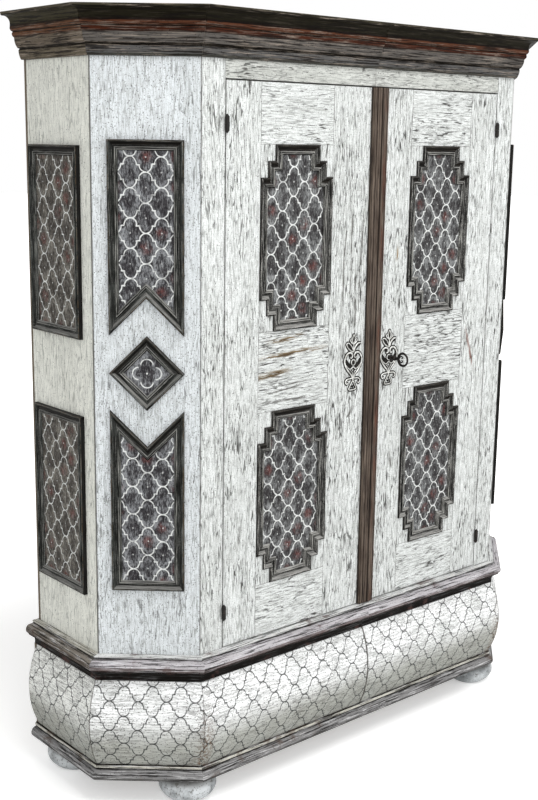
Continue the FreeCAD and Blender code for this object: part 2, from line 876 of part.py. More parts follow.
def arrow(inset):
    """Upright panel with a notch in its lower end, `inset` inside its outer edge.

    The two sloping edges are at 45 degrees to the sides, like the diamond's.
    """
    half = f"(cant_panel_width / 2 - {inset})"
    end = f"(arrow_height / 2 - {inset})"
    tip = f"(-arrow_height / 2 + {inset} * (1 + sqrt(2)))"
    apex = f"(-arrow_height / 2 + cant_panel_width / 2 + {inset} * sqrt(2))"
    return [(half, tip), (half, end), (f"-{half}", end), (f"-{half}", tip), ("0", apex)]


def upside_down_arrow(inset):
    """The lower arrow panel, listed from its lower right corner."""
    corners = flip(arrow(inset))
    return corners[3:] + corners[:3]


def diamond(inset):
    """Square on its corner, listed from its right-hand corner."""
    half = f"(diamond_half - {inset} * sqrt(2))"
    return [(half, "0"), ("0", half), (f"-{half}", "0"), ("0", f"-{half}")]


# side faces: two upright rectangles one above the other
side_middle_y = "cant_back_y + side_panel_inset + side_panel_width / 2"
side_frames, side_fields = [], []
for level, lift in (("lower", "0"), ("upper", "side_panel_height + side_panel_gap")):
    spot = ("side_x", side_middle_y, f"side_panel_base + side_panel_height / 2 + {lift}")
    edge = rectangle("side_panel_width", "side_panel_height")
    inner = rectangle("side_panel_width - 2 * (moulding_lap + moulding_clearance)",
                      "side_panel_height - 2 * (moulding_lap + moulding_clearance)")
    side_frames.append(raised_frame(f"{level}_side_frame", starting_mid_edge(edge), *spot,
                                    turn="-90 deg"))
    side_fields.append(field(f"{level}_side_field", inner, *spot, turn="-90 deg"))
keep_pair("side_panels", group("side_panels_left", side_fields))
keep_pair("side_panel_frames", group("side_panel_frames_left", side_frames))

# canted faces: an arrow panel above and below a diamond
FIELD_INSET = "(moulding_lap + moulding_clearance)"
upper_arrow_z = "diamond_height + arrow_middle"
lower_arrow_z = "diamond_height - arrow_middle"
cant_spot = ("cant_middle_x", "cant_middle_y")
half_side = "diamond_half / 2"
diamond_path = [(half_side, half_side)] + diamond("0")[1:] + diamond("0")[:1]
cant_frames = [
    raised_frame("upper_arrow_frame", starting_mid_edge(arrow("0")), *cant_spot,
                 upper_arrow_z, turn="cant_turn"),
    raised_frame("diamond_frame", diamond_path, *cant_spot, "diamond_height",
                 turn="cant_turn", slant=45),
    raised_frame("lower_arrow_frame", starting_mid_edge(upside_down_arrow("0")), *cant_spot,
                 lower_arrow_z, turn="cant_turn"),
]
cant_fields = [
    field("upper_arrow_field", arrow(FIELD_INSET), *cant_spot, upper_arrow_z,
          turn="cant_turn"),
    field("diamond_field", diamond(FIELD_INSET), *cant_spot, "diamond_height",
          turn="cant_turn"),
    field("lower_arrow_field", upside_down_arrow(FIELD_INSET), *cant_spot, lower_arrow_z,
          turn="cant_turn"),
]
keep_pair("canted_panels", group("canted_panels_left", cant_fields))
keep_pair("canted_panel_frames", group("canted_panel_frames_left", cant_frames))


# ---------------------------------------------------------------- doors: frame and panels

def door_pair(label, left):
    """Keep a left door piece and its mirror image on the right door."""
    left.Label = "left_door_" + label
    return keep(left, mirror("right_door_" + label, left))


def grooved_stile(label, x, width, outward):
    """Door stile, drawn in plan, with a groove for panels and tongues on one edge."""
    inner, start = (width, x) if outward else ("0", f"{x}")
    bottom_of_groove = f"{width} - groove_depth" if outward else "groove_depth"
    body = body_at(label, start, "face_y", "door_bottom")
    far = "0" if outward else width
    corners = [
        (far, "0"), (inner, "0"), (inner, "groove_front"),
        (bottom_of_groove, "groove_front"), (bottom_of_groove, "groove_back"),
        (inner, "groove_back"), (inner, "door_thickness"), (far, "door_thickness"),
    ]
    pad(body, trace(sketch_on(body, "XY_Plane"), corners), "door_height")
    return body


door_pair("hinge_stile",
          grooved_stile("hinge_stile", "door_x", "hinge_stile_width", outward=True))
meeting_stile = grooved_stile("meeting_stile", "panel_x + panel_width",
                              "meeting_stile_width", outward=False)
meeting_stile.Label = "left_door_meeting_stile"
keep(meeting_stile)


def rail(label, bottom, height, groove_below, groove_above):
    """Door rail with grooved edges, and a tongue at each end for the stiles' grooves."""
    body = body_at(label, "panel_x", "face_y", f"door_bottom + {bottom}")
    section = [("0", "0")]
    if groove_below:
        section += [("groove_front", "0"), ("groove_front", "groove_depth"),
                    ("groove_back", "groove_depth"), ("groove_back", "0")]
    section += [("door_thickness", "0"), ("door_thickness", height)]
    if groove_above:
        section += [("groove_back", height), ("groove_back", f"{height} - groove_depth"),
                    ("groove_front", f"{height} - groove_depth"), ("groove_front", height)]
    section += [("0", height)]
    pad(body, trace(sketch_on(body, "YZ_Plane"), section), "panel_width")
    low = "groove_depth" if groove_below else "0"
    high = f"{height} - groove_depth" if groove_above else height
    front = "groove_front + groove_clearance"
    back = "groove_back - groove_clearance"
    tongue = trace(sketch_on(body, "YZ_Plane", z="-tongue_length"),
                   [(front, low), (back, low), (back, high), (front, high)])
    pad(body, tongue, "panel_width + 2 * tongue_length")
    return body


door_pair("rails", group("left_rails", [
    rail("bottom_rail", "0", "bottom_rail_height", False, True),
    rail("middle_rail", "bottom_rail_height + panel_height", "middle_rail_height",
         True, True),
    rail("top_rail", "upper_panel_bottom + panel_height", "top_rail_height", True, False),
]))

PANEL_BOTTOMS = {"lower": "bottom_rail_height", "upper": "upper_panel_bottom"}
PANEL_MIDDLES = {
    level: ("panel_centre_x", "face_y + panel_setback",
            f"door_bottom + {bottom} + panel_height / 2")
    for level, bottom in PANEL_BOTTOMS.items()
}


def door_panel(level):
    """Panel held in the grooves, its front behind the door's face."""
    x, y, z = PANEL_MIDDLES[level]
    corners = rectangle("panel_width + 2 * tongue_length",
                        "panel_height + 2 * tongue_length")
    return field(f"{level}_door_panel", corners, x, f"{y} + panel_thickness", z,
                 thickness="panel_thickness")


door_pair("panels", group("left_panels", [door_panel(level) for level in PANEL_MIDDLES]))


def stepped_outline():
    """Rectangle with two square steps at each corner, from its right-hand edge."""
    out = ["panel_width / 2", "panel_width / 2 - step_width",
           "panel_width / 2 - 2 * step_width"]
    up = ["panel_height / 2 - 2 * step_height", "panel_height / 2 - step_height",
          "panel_height / 2"]
    quarter = [(out[0], up[0]), (out[1], up[0]), (out[1], up[1]), (out[2], up[1]),
               (out[2], up[2])]
    left_top = [(f"-({x})", z) for x, z in reversed(quarter)]
    left_bottom = [(f"-({x})", f"-({z})") for x, z in quarter]
    right_bottom = [(x, f"-({z})") for x, z in reversed(quarter)]
    return [(out[0], "0")] + quarter + left_top + left_bottom + right_bottom


door_pair("panel_mouldings", group("left_panel_mouldings", [
    raised_frame(f"{level}_door_moulding", stepped_outline(), *PANEL_MIDDLES[level],
                 lap=False)
    for level in PANEL_MIDDLES
]))


def corner_block(level, right, top):
    """Two-stepped block that fills one corner of an opening, flush with the door."""
    sign_x = "" if right else "-"
    sign_z = "" if top else "-"
    steps = [("0", "0"), ("-2 * step_width", "0"), ("-2 * step_width", "-step_height"),
             ("-step_width", "-step_height"), ("-step_width", "-2 * step_height"),
             ("0", "-2 * step_height")]
    corners = [(f"{sign_x}(panel_width / 2 + {x})", f"{sign_z}(panel_height / 2 + {z})")
               for x, z in steps]
    name = f"{level}_block_{'right' if right else 'left'}_{'top' if top else 'bottom'}"
    return field(name, corners, *PANEL_MIDDLES[level], thickness="panel_setback")


door_pair("corner_blocks", group("left_corner_blocks", [
    corner_block(level, right, top)
    for level in PANEL_MIDDLES for right in (False, True) for top in (False, True)
]))


# ---------------------------------------------------------------- hinges

# Lift-off hinges: the case half carries the pin and the door half drops over it. Each
# leaf lies in the gap beside its own edge, and only a tab of it reaches the barrel.
LEAF_START = "hinge_radius + 1"
HINGE_HEIGHTS = {
    "lower": "door_bottom + lower_hinge_inset",
    "upper": "door_top - upper_hinge_inset",
}


def hinge_half(name, height, side, barrel):
    """A turned barrel half with its leaf. `side` is -1 for the case, 1 for the door."""
    body = body_at(name, "opening_x + door_gap / 2", "hinge_y", height)
    revolve(body, trace(sketch_on(body, "XZ_Plane"), barrel))
    tab_start, tab_low = "(hinge_radius + pin_radius) / 2", f"{side}"
    end, tab_high = "leaf_length / 2", f"{side} * (hinge_half - 2)"
    leaf_x = "leaf_gap / 2" if side > 0 else "-leaf_gap / 2 - leaf_thickness"
    leaf = trace(sketch_on(body, "YZ_Plane", z=leaf_x), [
        (tab_start, tab_high), (tab_start, tab_low), (LEAF_START, tab_low),
        (LEAF_START, f"-{side} * {end}"),
        (f"{LEAF_START} + leaf_depth", f"-{side} * {end}"),
        (f"{LEAF_START} + leaf_depth", f"{side} * {end}"),
        (LEAF_START, f"{side} * {end}"), (LEAF_START, tab_high),
    ])
    pad(body, leaf, "leaf_thickness")
    return body


pin_half = [
    ("0", "-hinge_half - finial_length"),
    ("hinge_radius", "-hinge_half"),
    ("hinge_radius", "0"),
    ("pin_radius", "0"),
    ("pin_radius", "pin_length"),
    ("0", "pin_length"),
]
socket_half = [
    ("pin_radius + pin_clearance", "0.3"),
    ("hinge_radius", "0.3"),
    ("hinge_radius", "hinge_half"),
    ("0", "hinge_half + finial_length"),
    ("0", "pin_length + 0.5"),
    ("pin_radius + pin_clearance", "pin_length + 0.5"),
]
keep_pair("hinge_pins", group("hinge_pins_left", [
    hinge_half(f"{level}_pin_half", height, -1, pin_half)
    for level, height in HINGE_HEIGHTS.items()
]))
door_pair("hinge_sockets", group("left_hinge_sockets", [
    hinge_half(f"{level}_socket_half", height, 1, socket_half)
    for level, height in HINGE_HEIGHTS.items()
]))


# ---------------------------------------------------------------- meeting bar

# a strip of reeds on the right door that hides the joint between the doors
reed_steps = [
    (0.0, 0.0), (1.0, 0.0), (1.0, 0.35, 0.1), (0.84, 0.75), (0.80, 0.62, 0.22),
    (0.60, 0.62), (0.57, 0.9, 0.14), (0.40, 0.9), (0.37, 0.62, 0.22), (0.17, 0.62),
    (0.14, 0.8), (0.0, 0.8),
]
bar = body_at("meeting_bar", "-meeting_x", "face_y", "door_bottom")
bar_corners = []
for across, out, *rise in reed_steps:
    reed = (f"{across} * bar_width", f"-{out} * bar_height")
    bar_corners.append(reed + tuple(f"-{share} * bar_height" for share in rise))
pad(bar, trace(sketch_on(bar, "XY_Plane"), bar_corners), "door_height")
keep(bar)

# the bar's neighbour on the left door, as high as the bar's first reed, so that the two
# read as one strip and either door can still open first
bead_steps = [(0.0, 0.0), (0.0, 0.8), (0.72, 0.8, 0.12), (1.0, 0.3), (1.0, 0.0)]
bead = body_at("left_door_meeting_bead", "meeting_x", "face_y", "door_bottom")
bead_corners = []
for across, out, *rise in bead_steps:
    strip = (f"-{across} * bead_width", f"-{out} * bar_height")
    bead_corners.append(strip + tuple(f"{share} * bar_height" for share in rise))
pad(bead, trace(sketch_on(bead, "XY_Plane"), bead_corners), "door_height")
keep(bead)


# ---------------------------------------------------------------- bolts of the left door

STAPLE_SPOTS = (0.2, 0.8)         # along the plate


def bolt_plate(name, bottom):
    """Plate with two pierced staples that guide a bolt on the door's inner face."""
    plate = box(name + "_plate", ("-bolt_inset - bolt_plate_width / 2", "door_back_y", bottom),
                ("bolt_plate_width", "bolt_plate_thickness", "bolt_plate_length"))
    pieces = [plate]
    for share in STAPLE_SPOTS:
        low_z = f"{bottom} + {share} * bolt_plate_length - staple_height / 2"
        pieces.append(box(f"{name}_staple_{int(10 * share)}",
                          ("-bolt_inset - staple_width / 2", "door_back_y", low_z),
                          ("staple_width", "bolt_y - door_back_y + bolt_half_width + staple_cover",
                           "staple_height")))
    bore = square_bar(name + "_bore", bottom, "bolt_half_width + bolt_clearance",
                      "bolt_plate_length")
    return boolean("Cut", name, fuse(name + "_solid", pieces), bore)


def door_bolt(name, bottom):
    """Square bolt with a round knob at its middle that points into the cupboard."""
    rod = square_bar(name + "_rod", bottom, "bolt_half_width", "bolt_length")
    knob = cylinder(name + "_knob", ("-bolt_inset", "bolt_y", f"{bottom} + bolt_length / 2"),
                    "bolt_knob_radius", "bolt_knob_length", along=V(0, 1, 0))
    return fuse(name, [rod, knob])


top_bolt_bottom = "door_top - bolt_setback - bolt_length"
bottom_bolt_bottom = "door_bottom + bolt_setback"
keep(group("left_door_bolt_plates", [
    bolt_plate("top_bolt_guide", f"{top_bolt_bottom} + (bolt_length - bolt_plate_length) / 2"),
    bolt_plate("bottom_bolt_guide",
               f"{bottom_bolt_bottom} + (bolt_length - bolt_plate_length) / 2"),
]))
keep(door_bolt("left_top_bolt", top_bolt_bottom))
keep(door_bolt("left_bottom_bolt", bottom_bolt_bottom))


# ---------------------------------------------------------------- escutcheons

# One half of the pierced plate from its top to its foot, as shares of half the width
# and half the height: a fleur, a leaf, a heart of two volutes, a curled foot and a loop.
half_plate = [
    (0.0, 1.0), (0.22, 0.90), (0.24, 0.74), (0.14, 0.60), (0.22, 0.52), (0.78, 0.70),
    (0.90, 0.60), (0.62, 0.47), (0.36, 0.42), (0.70, 0.34), (0.96, 0.16), (1.0, -0.02),
    (0.72, -0.24), (0.20, -0.46), (0.14, -0.56), (0.62, -0.60), (0.70, -0.68),
    (0.56, -0.75), (0.26, -0.70), (0.40, -0.92), (0.0, -1.0),
]
piercings = [
    [(0.0, 0.90), (-0.10, 0.79), (0.0, 0.70), (0.10, 0.79)],
    [(0.36, 0.53), (0.72, 0.65), (0.66, 0.55)],
    [(-0.36, 0.53), (-0.66, 0.55), (-0.72, 0.65)],
    [(0.68, 0.20), (0.56, 0.29), (0.32, 0.29), (0.20, 0.20), (0.32, 0.11), (0.56, 0.11)],
    [(-0.20, 0.20), (-0.32, 0.29), (-0.56, 0.29), (-0.68, 0.20), (-0.56, 0.11),
     (-0.32, 0.11)],
    [(0.0, -0.20), (-0.18, -0.30), (0.0, -0.42), (0.18, -0.30)],
    [(0.0, -0.76), (-0.22, -0.90), (0.22, -0.90)],
]
half_width, half_height = "escutcheon_width / 2", "escutcheon_height / 2"


def escutcheon(label, x):
    """Pierced keyhole plate, drawn from the front and padded out of the door's face."""
    plate = body_at(label, x, "face_y", "key_height")
    other_half = [(-out, up) for out, up in reversed(half_plate[1:-1])]
    outlines = [[(f"{out} * {half_width}", f"{up} * {half_height}") for out, up in corners]
                for corners in [half_plate + other_half] + piercings]
    pad(plate, trace(sketch_on(plate, "XZ_Plane"), outlines[0]), "escutcheon_thickness")
    holes = sketch_on(plate, "XZ_Plane")
    for outline in outlines[1:]:
        trace(holes, outline)
    ring(holes, "0", "0", "keyhole_radius")
    pocket_through(plate, holes)
    return plate


keep(escutcheon("left_escutcheon", "-left_escutcheon_inset"))
keep(escutcheon("right_escutcheon", "key_inset"))


# ---------------------------------------------------------------- lock and key

key_axis = ("key_inset", "key_height")


def keyhole(label, start_y, length):
    """Round hole for the shank with a slot below it for the bit, through the door."""
    round_hole = cylinder(label + "_round", (key_axis[0], start_y, key_axis[1]),
                          "keyhole_radius", length, along=V(0, 1, 0))
    slot = box(label + "_slot",
               ("key_inset - bit_thickness / 2 - 1", start_y, "key_height - bit_length - 1"),
               ("bit_thickness + 2", length, "bit_length + 1"))
    return fuse(label, [round_hole, slot])


keep(boolean("Cut", "right_door_meeting_stile",
             mirror("right_meeting_stile_blank", meeting_stile),
             keyhole("door_keyhole", "face_y - 1", "door_thickness + 2")))

lock_low_z = "key_height - lock_below"
lock_outer = box("lock_outer", ("lock_inset", "door_back_y", lock_low_z),
                 ("lock_length", "lock_depth", "lock_below + lock_above"))
lock_hollow = box("lock_hollow",
                  ("lock_inset + lock_wall", "door_back_y + lock_wall",
                   f"{lock_low_z} + lock_wall"),
                  ("lock_length - 2 * lock_wall", "lock_depth - 2 * lock_wall",
                   "lock_below + lock_above - 2 * lock_wall"))


def bolt_slot(label, x, length):
    """Room for the lock bolt with its clearance, in the case and in the keeper."""
    return box(label,
               (x, "lock_middle_y - lock_bolt_thickness / 2 - lock_bolt_clearance",
                "key_height + lock_bolt_low - lock_bolt_clearance"),
               (length, "lock_bolt_thickness + 2 * lock_bolt_clearance",
                "lock_bolt_height + 2 * lock_bolt_clearance"))


lock_openings = fuse("lock_openings", [
    lock_hollow,
    bolt_slot("lock_mouth", "lock_inset - 1", "lock_wall + 2"),
    keyhole("lock_keyhole", "door_back_y - 1", "lock_wall + 2"),
])
keep(boolean("Cut", "lock_case", lock_outer, lock_openings))

keeper_low = ("-lock_inset - keeper_length",
              "door_back_y", "key_height + lock_bolt_low - 3 * lock_wall")
keeper_block = box("keeper_block", keeper_low,
                   ("keeper_length", "lock_depth", "lock_bolt_height + 6 * lock_wall"))
keep(boolean("Cut", "lock_keeper", keeper_block,
             bolt_slot("keeper_mouth", "-lock_inset - keeper_length + lock_wall",
                       "keeper_length")))

# the bolt's lower edge has a notch where the key's bit sweeps through as it throws it
lock_bolt = body_at("lock_bolt", "key_inset",
                    "lock_middle_y + lock_bolt_thickness / 2", "key_height")
bolt_tip = "lock_inset - key_inset + 0.5"
pad(lock_bolt, trace(sketch_on(lock_bolt, "XZ_Plane"), [
    (bolt_tip, "lock_bolt_low"),
    ("-0.6 * bit_length", "lock_bolt_low"),
    ("-0.6 * bit_length", "bit_length + 1.5"),
    ("1.4 * bit_length", "bit_length + 1.5"),
    ("1.4 * bit_length", "lock_bolt_low"),
    (f"{bolt_tip} + lock_bolt_length", "lock_bolt_low"),
    (f"{bolt_tip} + lock_bolt_length", "lock_bolt_low + lock_bolt_height"),
    (bolt_tip, "lock_bolt_low + lock_bolt_height"),
]), "lock_bolt_thickness")
keep(lock_bolt)

shank_length = "key_shank + door_thickness + lock_depth - lock_wall - 1"
key_shank = cylinder("key_shank_rod", (key_axis[0], "face_y - key_shank", key_axis[1]),
                     "key_radius", shank_length, along=V(0, 1, 0))
key_collar = cylinder("key_collar",
                      (key_axis[0], "face_y - key_shank - bow_wire / 2", key_axis[1]),
                      "key_radius + 2.5", "2 * bow_wire", along=V(0, 1, 0))
key_bit = box("key_bit",
              ("key_inset - bit_thickness / 2", "lock_middle_y - bit_width / 2",
               "key_height - bit_length"),
              ("bit_thickness", "bit_width", "bit_length"))

# the bow is a forged ring, left with sixteen flats
BOW_FLATS = 16
bow_turns = [2 * math.pi * flat / BOW_FLATS for flat in range(BOW_FLATS)]
key_bow = body_at("key_bow", key_axis[0], "face_y - key_shank - bow_radius", key_axis[1])
bow_outline = sketch_on(key_bow, "YZ_Plane")
for radius in ("bow_radius", "(bow_radius - 2 * bow_wire)"):
    trace(bow_outline, [(f"{math.cos(turn):.5f} * {radius}", f"{math.sin(turn):.5f} * {radius}")
                        for turn in bow_turns])
pad(key_bow, bow_outline, "2 * bow_wire", symmetric=True)
keep(fuse("key", [key_shank, key_collar, key_bit, key_bow]))


# ---------------------------------------------------------------- check and export

doc.recompute()
failed = [o.Label for o in doc.Objects if {"Invalid", "Error"} & set(o.State)]
if failed:
    raise RuntimeError("failed objects: " + ", ".join(failed))
for node in nodes:
    if node.Shape.isNull() or not node.Shape.isValid() or not node.Shape.Solids:
        raise RuntimeError("bad shape: " + node.Label)
if len({node.Label for node in nodes}) != len(nodes):
    raise RuntimeError("two nodes have the same name")

os.makedirs("parts", exist_ok=True)
for node in nodes:
    node.Shape.exportStep(os.path.join("parts", node.Label + ".step"))
print(f"{len(nodes)} nodes, {sum(len(node.Shape.Solids) for node in nodes)} solids")
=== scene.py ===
# %% [markdown]
# # A painted cupboard with canted corners
#
# The cupboard is softwood under old paint: white boards with grey cracks, dark panels with
# a white trellis, a bulged base with a dark trellis, and mouldings in grey, oxblood and
# olive bands. The solid model gives every piece its place and size. This lesson gives the
# flat boards their finishes, and makes the curved and carved pieces again with finer
# surfaces. All of it could be modelled by hand in the viewport. Code is used because each
# curve here is a short formula, and one formula serves many pieces.

import bpy
import json
import math
import numpy as np
from mathutils import Matrix, Vector


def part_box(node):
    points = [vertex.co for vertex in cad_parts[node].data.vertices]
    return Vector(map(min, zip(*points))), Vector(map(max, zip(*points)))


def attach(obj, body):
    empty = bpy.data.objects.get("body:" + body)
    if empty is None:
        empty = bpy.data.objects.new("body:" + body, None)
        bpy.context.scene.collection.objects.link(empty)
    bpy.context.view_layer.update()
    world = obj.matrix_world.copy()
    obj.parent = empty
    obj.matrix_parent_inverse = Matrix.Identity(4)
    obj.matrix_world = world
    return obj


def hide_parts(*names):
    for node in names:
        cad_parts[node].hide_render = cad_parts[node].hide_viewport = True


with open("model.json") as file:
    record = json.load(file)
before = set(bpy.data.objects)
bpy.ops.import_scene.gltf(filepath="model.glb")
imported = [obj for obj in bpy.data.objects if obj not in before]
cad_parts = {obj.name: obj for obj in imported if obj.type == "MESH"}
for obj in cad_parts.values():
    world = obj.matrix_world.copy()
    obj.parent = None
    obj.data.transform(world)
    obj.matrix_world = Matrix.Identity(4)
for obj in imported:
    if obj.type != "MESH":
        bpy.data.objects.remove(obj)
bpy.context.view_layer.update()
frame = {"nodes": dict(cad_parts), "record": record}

# %% [markdown]
# ## Sizes from the solid model
#
# A maker sets out mouldings from the faces of the carcass, so these few planes are all
# that the later steps need. Each is read off the box of a board instead of being typed
# again. Then a change in the solid model carries through to the surfaces made here.

# %% The carcass planes
low, high = 0, 1
FACE_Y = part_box("hanging_stile_left")[low].y
CORNER_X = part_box("hanging_stile_left")[low].x
SIDE_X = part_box("side_board_left")[low].x
CANT_BACK_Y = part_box("side_board_left")[low].y
BACK_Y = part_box("back_boards")[high].y
BACK_FRONT_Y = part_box("back_boards")[low].y
DOOR_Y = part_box("left_door_panels")[low].y
print(f"face {FACE_Y:.3f}, corner {CORNER_X:.3f}, side {SIDE_X:.3f}, back {BACK_Y:.3f}")

# %% The canted corner
# A mitre is sawn on the line that halves a corner. For each metre that a section stands
# out, its end moves along the wall by the tangent of half the turn from face to face.
cant = Vector((CORNER_X - SIDE_X, FACE_Y - CANT_BACK_Y))
CANT_LENGTH = cant.length
CANT_ALONG = Vector((cant.x, cant.y, 0)) / CANT_LENGTH
CANT_OUT = Vector((cant.y, -cant.x, 0)) / CANT_LENGTH
CANT_MIDDLE = Vector(((CORNER_X + SIDE_X) / 2, (FACE_Y + CANT_BACK_Y) / 2, 0))
FRONT_MITRE = (CANT_LENGTH - cant.x) / -cant.y
SIDE_MITRE = (CANT_LENGTH + cant.y) / cant.x
print(f"cant {CANT_LENGTH:.4f} m long, looks along {tuple(round(c, 3) for c in CANT_OUT)}")

# %% [markdown]
# ## Paint chips and shader arithmetic
#
# Old paint is layers: a ground colour, cloudy dirt, cracks along the grain, chips and worn
# edges. In Blender each layer is a few Math nodes, and a page of node links is hard to
# read. So one small class wraps a socket and lets Python's own operators add the nodes,
# and one method makes every other kind of node.

# %% Paint chips
def chip(red, green, blue):
    """Linear colour of a screen colour: each channel c becomes ((c + 0.055) / 1.055) ^ 2.4."""
    channels = np.array([red, green, blue]) / 255
    return (*(((channels + 0.055) / 1.055) ** 2.4), 1.0)


print("a middle grey chip is", tuple(round(c, 3) for c in chip(128, 128, 128)))


# %% Sockets that calculate
class Socket:
    """One output of a node. Arithmetic on it adds Math nodes to the same material."""

    def __init__(self, finish, output):
        self.finish, self.output = finish, output

    def maths(self, operation, *values):
        """Add one Math node with its inputs in order."""
        inputs = dict(enumerate(values))
        return self.finish.node("ShaderNodeMath", {"operation": operation}, inputs)

    def __add__(self, other):
        return self.maths("ADD", self, other)

    def __sub__(self, other):
        return self.maths("SUBTRACT", self, other)

    def __rsub__(self, other):
        return self.maths("SUBTRACT", other, self)

    def __mul__(self, other):
        return self.maths("MULTIPLY", self, other)

    def __truediv__(self, other):
        return self.maths("DIVIDE", self, other)

    def __pow__(self, other):
        return self.maths("POWER", self, other)

    def __abs__(self):
        return self.maths("ABSOLUTE", self)

    def __lt__(self, other):
        return self.maths("LESS_THAN", self, other)

    def __gt__(self, other):
        return self.maths("GREATER_THAN", self, other)

    __radd__, __rmul__ = __add__, __mul__

    def sine(self):
        """Sine of the value, in radians."""
        return self.maths("SINE", self)

    def floor(self):
        """Whole number below."""
        return self.maths("FLOOR", self)

    def largest(self, other):
        """The larger of two values."""
        return self.maths("MAXIMUM", self, other)

    def smallest(self, other):
        """The smaller of two values."""
        return self.maths("MINIMUM", self, other)

    def fade(self, start, end):
        """0 before `start`, 1 after `end`, and a smooth S between. Works backwards too."""
        settings = {"interpolation_type": "SMOOTHSTEP"}
        backwards = start > end
        values = {"Value": self, "From Min": min(start, end), "From Max": max(start, end),
                  "To Min": float(backwards), "To Max": float(not backwards)}
        return self.finish.node("ShaderNodeMapRange", settings, values)


# %% A material written as Python
class Finish:
    """A material with one Principled shader, whose nodes come from `node`."""

    def __init__(self, name):
        self.material = bpy.data.materials.new(name)
        self.material.use_nodes = True
        self.nodes = self.material.node_tree.nodes
        self.links = self.material.node_tree.links
        self.shader = next(n for n in self.nodes if n.type == "BSDF_PRINCIPLED")

    def node(self, kind, settings=None, values=None, out=0):
        """Add a node: its settings first, then its sockets' values or links."""
        made = self.nodes.new(kind)
        for key, value in (settings or {}).items():
            setattr(made, key, value)
        for key, value in (values or {}).items():
            socket = made.inputs[key] if isinstance(key, int) else next(
                s for s in made.inputs if key in (s.name, s.identifier))
            self.feed(socket, value)
        found = made.outputs[out] if isinstance(out, int) else next(
            s for s in made.outputs if out in (s.name, s.identifier))
        return Socket(self, found)

    def feed(self, socket, value):
        """Link a Socket, or write a constant."""
        if isinstance(value, Socket):
            self.links.new(value.output, socket)
        else:
            socket.default_value = value

    def place(self):
        """Position on the cupboard, in metres."""
        return self.node("ShaderNodeTexCoord", out="Object")

    def surface(self):
        """The piece's own UV map, in metres along and across."""
        return self.node("ShaderNodeUVMap", {"uv_map": "along_and_across"})

    def split(self, vector):
        """The three coordinates of a vector."""
        first = self.node("ShaderNodeSeparateXYZ", values={0: vector})
        outputs = first.output.node.outputs
        return [Socket(self, output) for output in outputs]

    def join(self, x, y, z):
        """A vector from three coordinates."""
        return self.node("ShaderNodeCombineXYZ", values={0: x, 1: y, 2: z})

    def stretch(self, vector, scales):
        """Each coordinate times its own scale."""
        return self.node("ShaderNodeVectorMath", {"operation": "MULTIPLY"},
                         {0: vector, 1: scales})

    def shifted(self, vector, offset):
        """The vector plus an offset."""
        return self.node("ShaderNodeVectorMath", {"operation": "ADD"}, {0: vector, 1: offset})

    def noise(self, vector, scale, detail=3.0, roughness=0.55, distortion=0.0):
        """Cloudy noise, 0 to 1 with a mean near 0.5."""
        return self.node("ShaderNodeTexNoise", None, {
            "Vector": vector, "Scale": scale, "Detail": detail, "Roughness": roughness,
            "Distortion": distortion})

    def cells(self, vector, scale, feature="F1", out="Distance"):
        """Voronoi cells: distance to the nearest point or edge, or a colour per cell."""
        return self.node("ShaderNodeTexVoronoi", {"feature": feature},
                         {"Vector": vector, "Scale": scale}, out)

    def chance(self, vector):
        """One random number per vector."""
        return self.node("ShaderNodeTexWhiteNoise", {"noise_dimensions": "3D"},
                         {"Vector": vector}, "Value")

    def mix(self, first, second, share):
        """First colour where share is 0, second where it is 1."""
        return self.node("ShaderNodeMix", {"data_type": "RGBA"}, {
            "Factor_Float": share, "A_Color": first, "B_Color": second}, "Result_Color")

    def coats(self, tone, *layers):
        """Lay coats over a tone in order, each a screen colour and the mask it shows in."""
        for colour, mask in layers:
            tone = self.mix(tone, chip(*colour), mask)
        return tone

    def edges(self, radius):
        """About 0 on flat faces and towards 1 within `radius` of the piece's own edges."""
        rounded = self.node("ShaderNodeBevel", {"samples": 6}, {"Radius": radius})
        true_normal = self.node("ShaderNodeNewGeometry", out="True Normal")
        return 1 - self.node("ShaderNodeVectorMath", {"operation": "DOT_PRODUCT"},
                             {0: rounded, 1: true_normal}, "Value")

    def bump(self, height, depth):
        """A normal from a height in 0 to 1 that stands for `depth` metres."""
        return self.node("ShaderNodeBump", None,
                         {"Strength": 1.0, "Distance": depth, "Height": height})

    def finish(self, colour, roughness, normal=None, metallic=0.0, gloss=0.12):
        """Plug the layers into the shader and hand back the material.

        Dry old paint throws back little mirror light, so `gloss` is well below 0.5.
        """
        self.feed(self.shader.inputs["Base Color"], colour)
        self.feed(self.shader.inputs["Roughness"], roughness)
        self.feed(self.shader.inputs["Metallic"], metallic)
        self.feed(self.shader.inputs["Specular IOR Level"], gloss)
        if normal:
            self.feed(self.shader.inputs["Normal"], normal)
        return self.material


print("a finish is a material with one Principled shader")

# %% [markdown]
# ## The white paint
#
# The carcass and the doors carry thin lime-like white paint. It has shrunk along the
# grain, so each board shows fine wavy cracks that run its own way: upright on stiles and
# side boards, level on rails. An image of old paint would give this at once, but one
# pattern would repeat on every board. Noise that is stretched along the grain never
# repeats, and one function serves every direction.

# %% Grain directions
STRETCH = 0.09                      # how much slower a pattern changes along the grain
UPRIGHT = (1.0, 1.0, STRETCH)
LEVEL = (STRETCH, 1.0, 1.0)
LEVEL_ALONG_Y = (1.0, STRETCH, 1.0)


def with_stretch(grain, share):
    """The same grain direction with another share along it."""
    return tuple(g if g == 1 else share for g in grain)


print("grains stretch by", round(1 / STRETCH, 1))


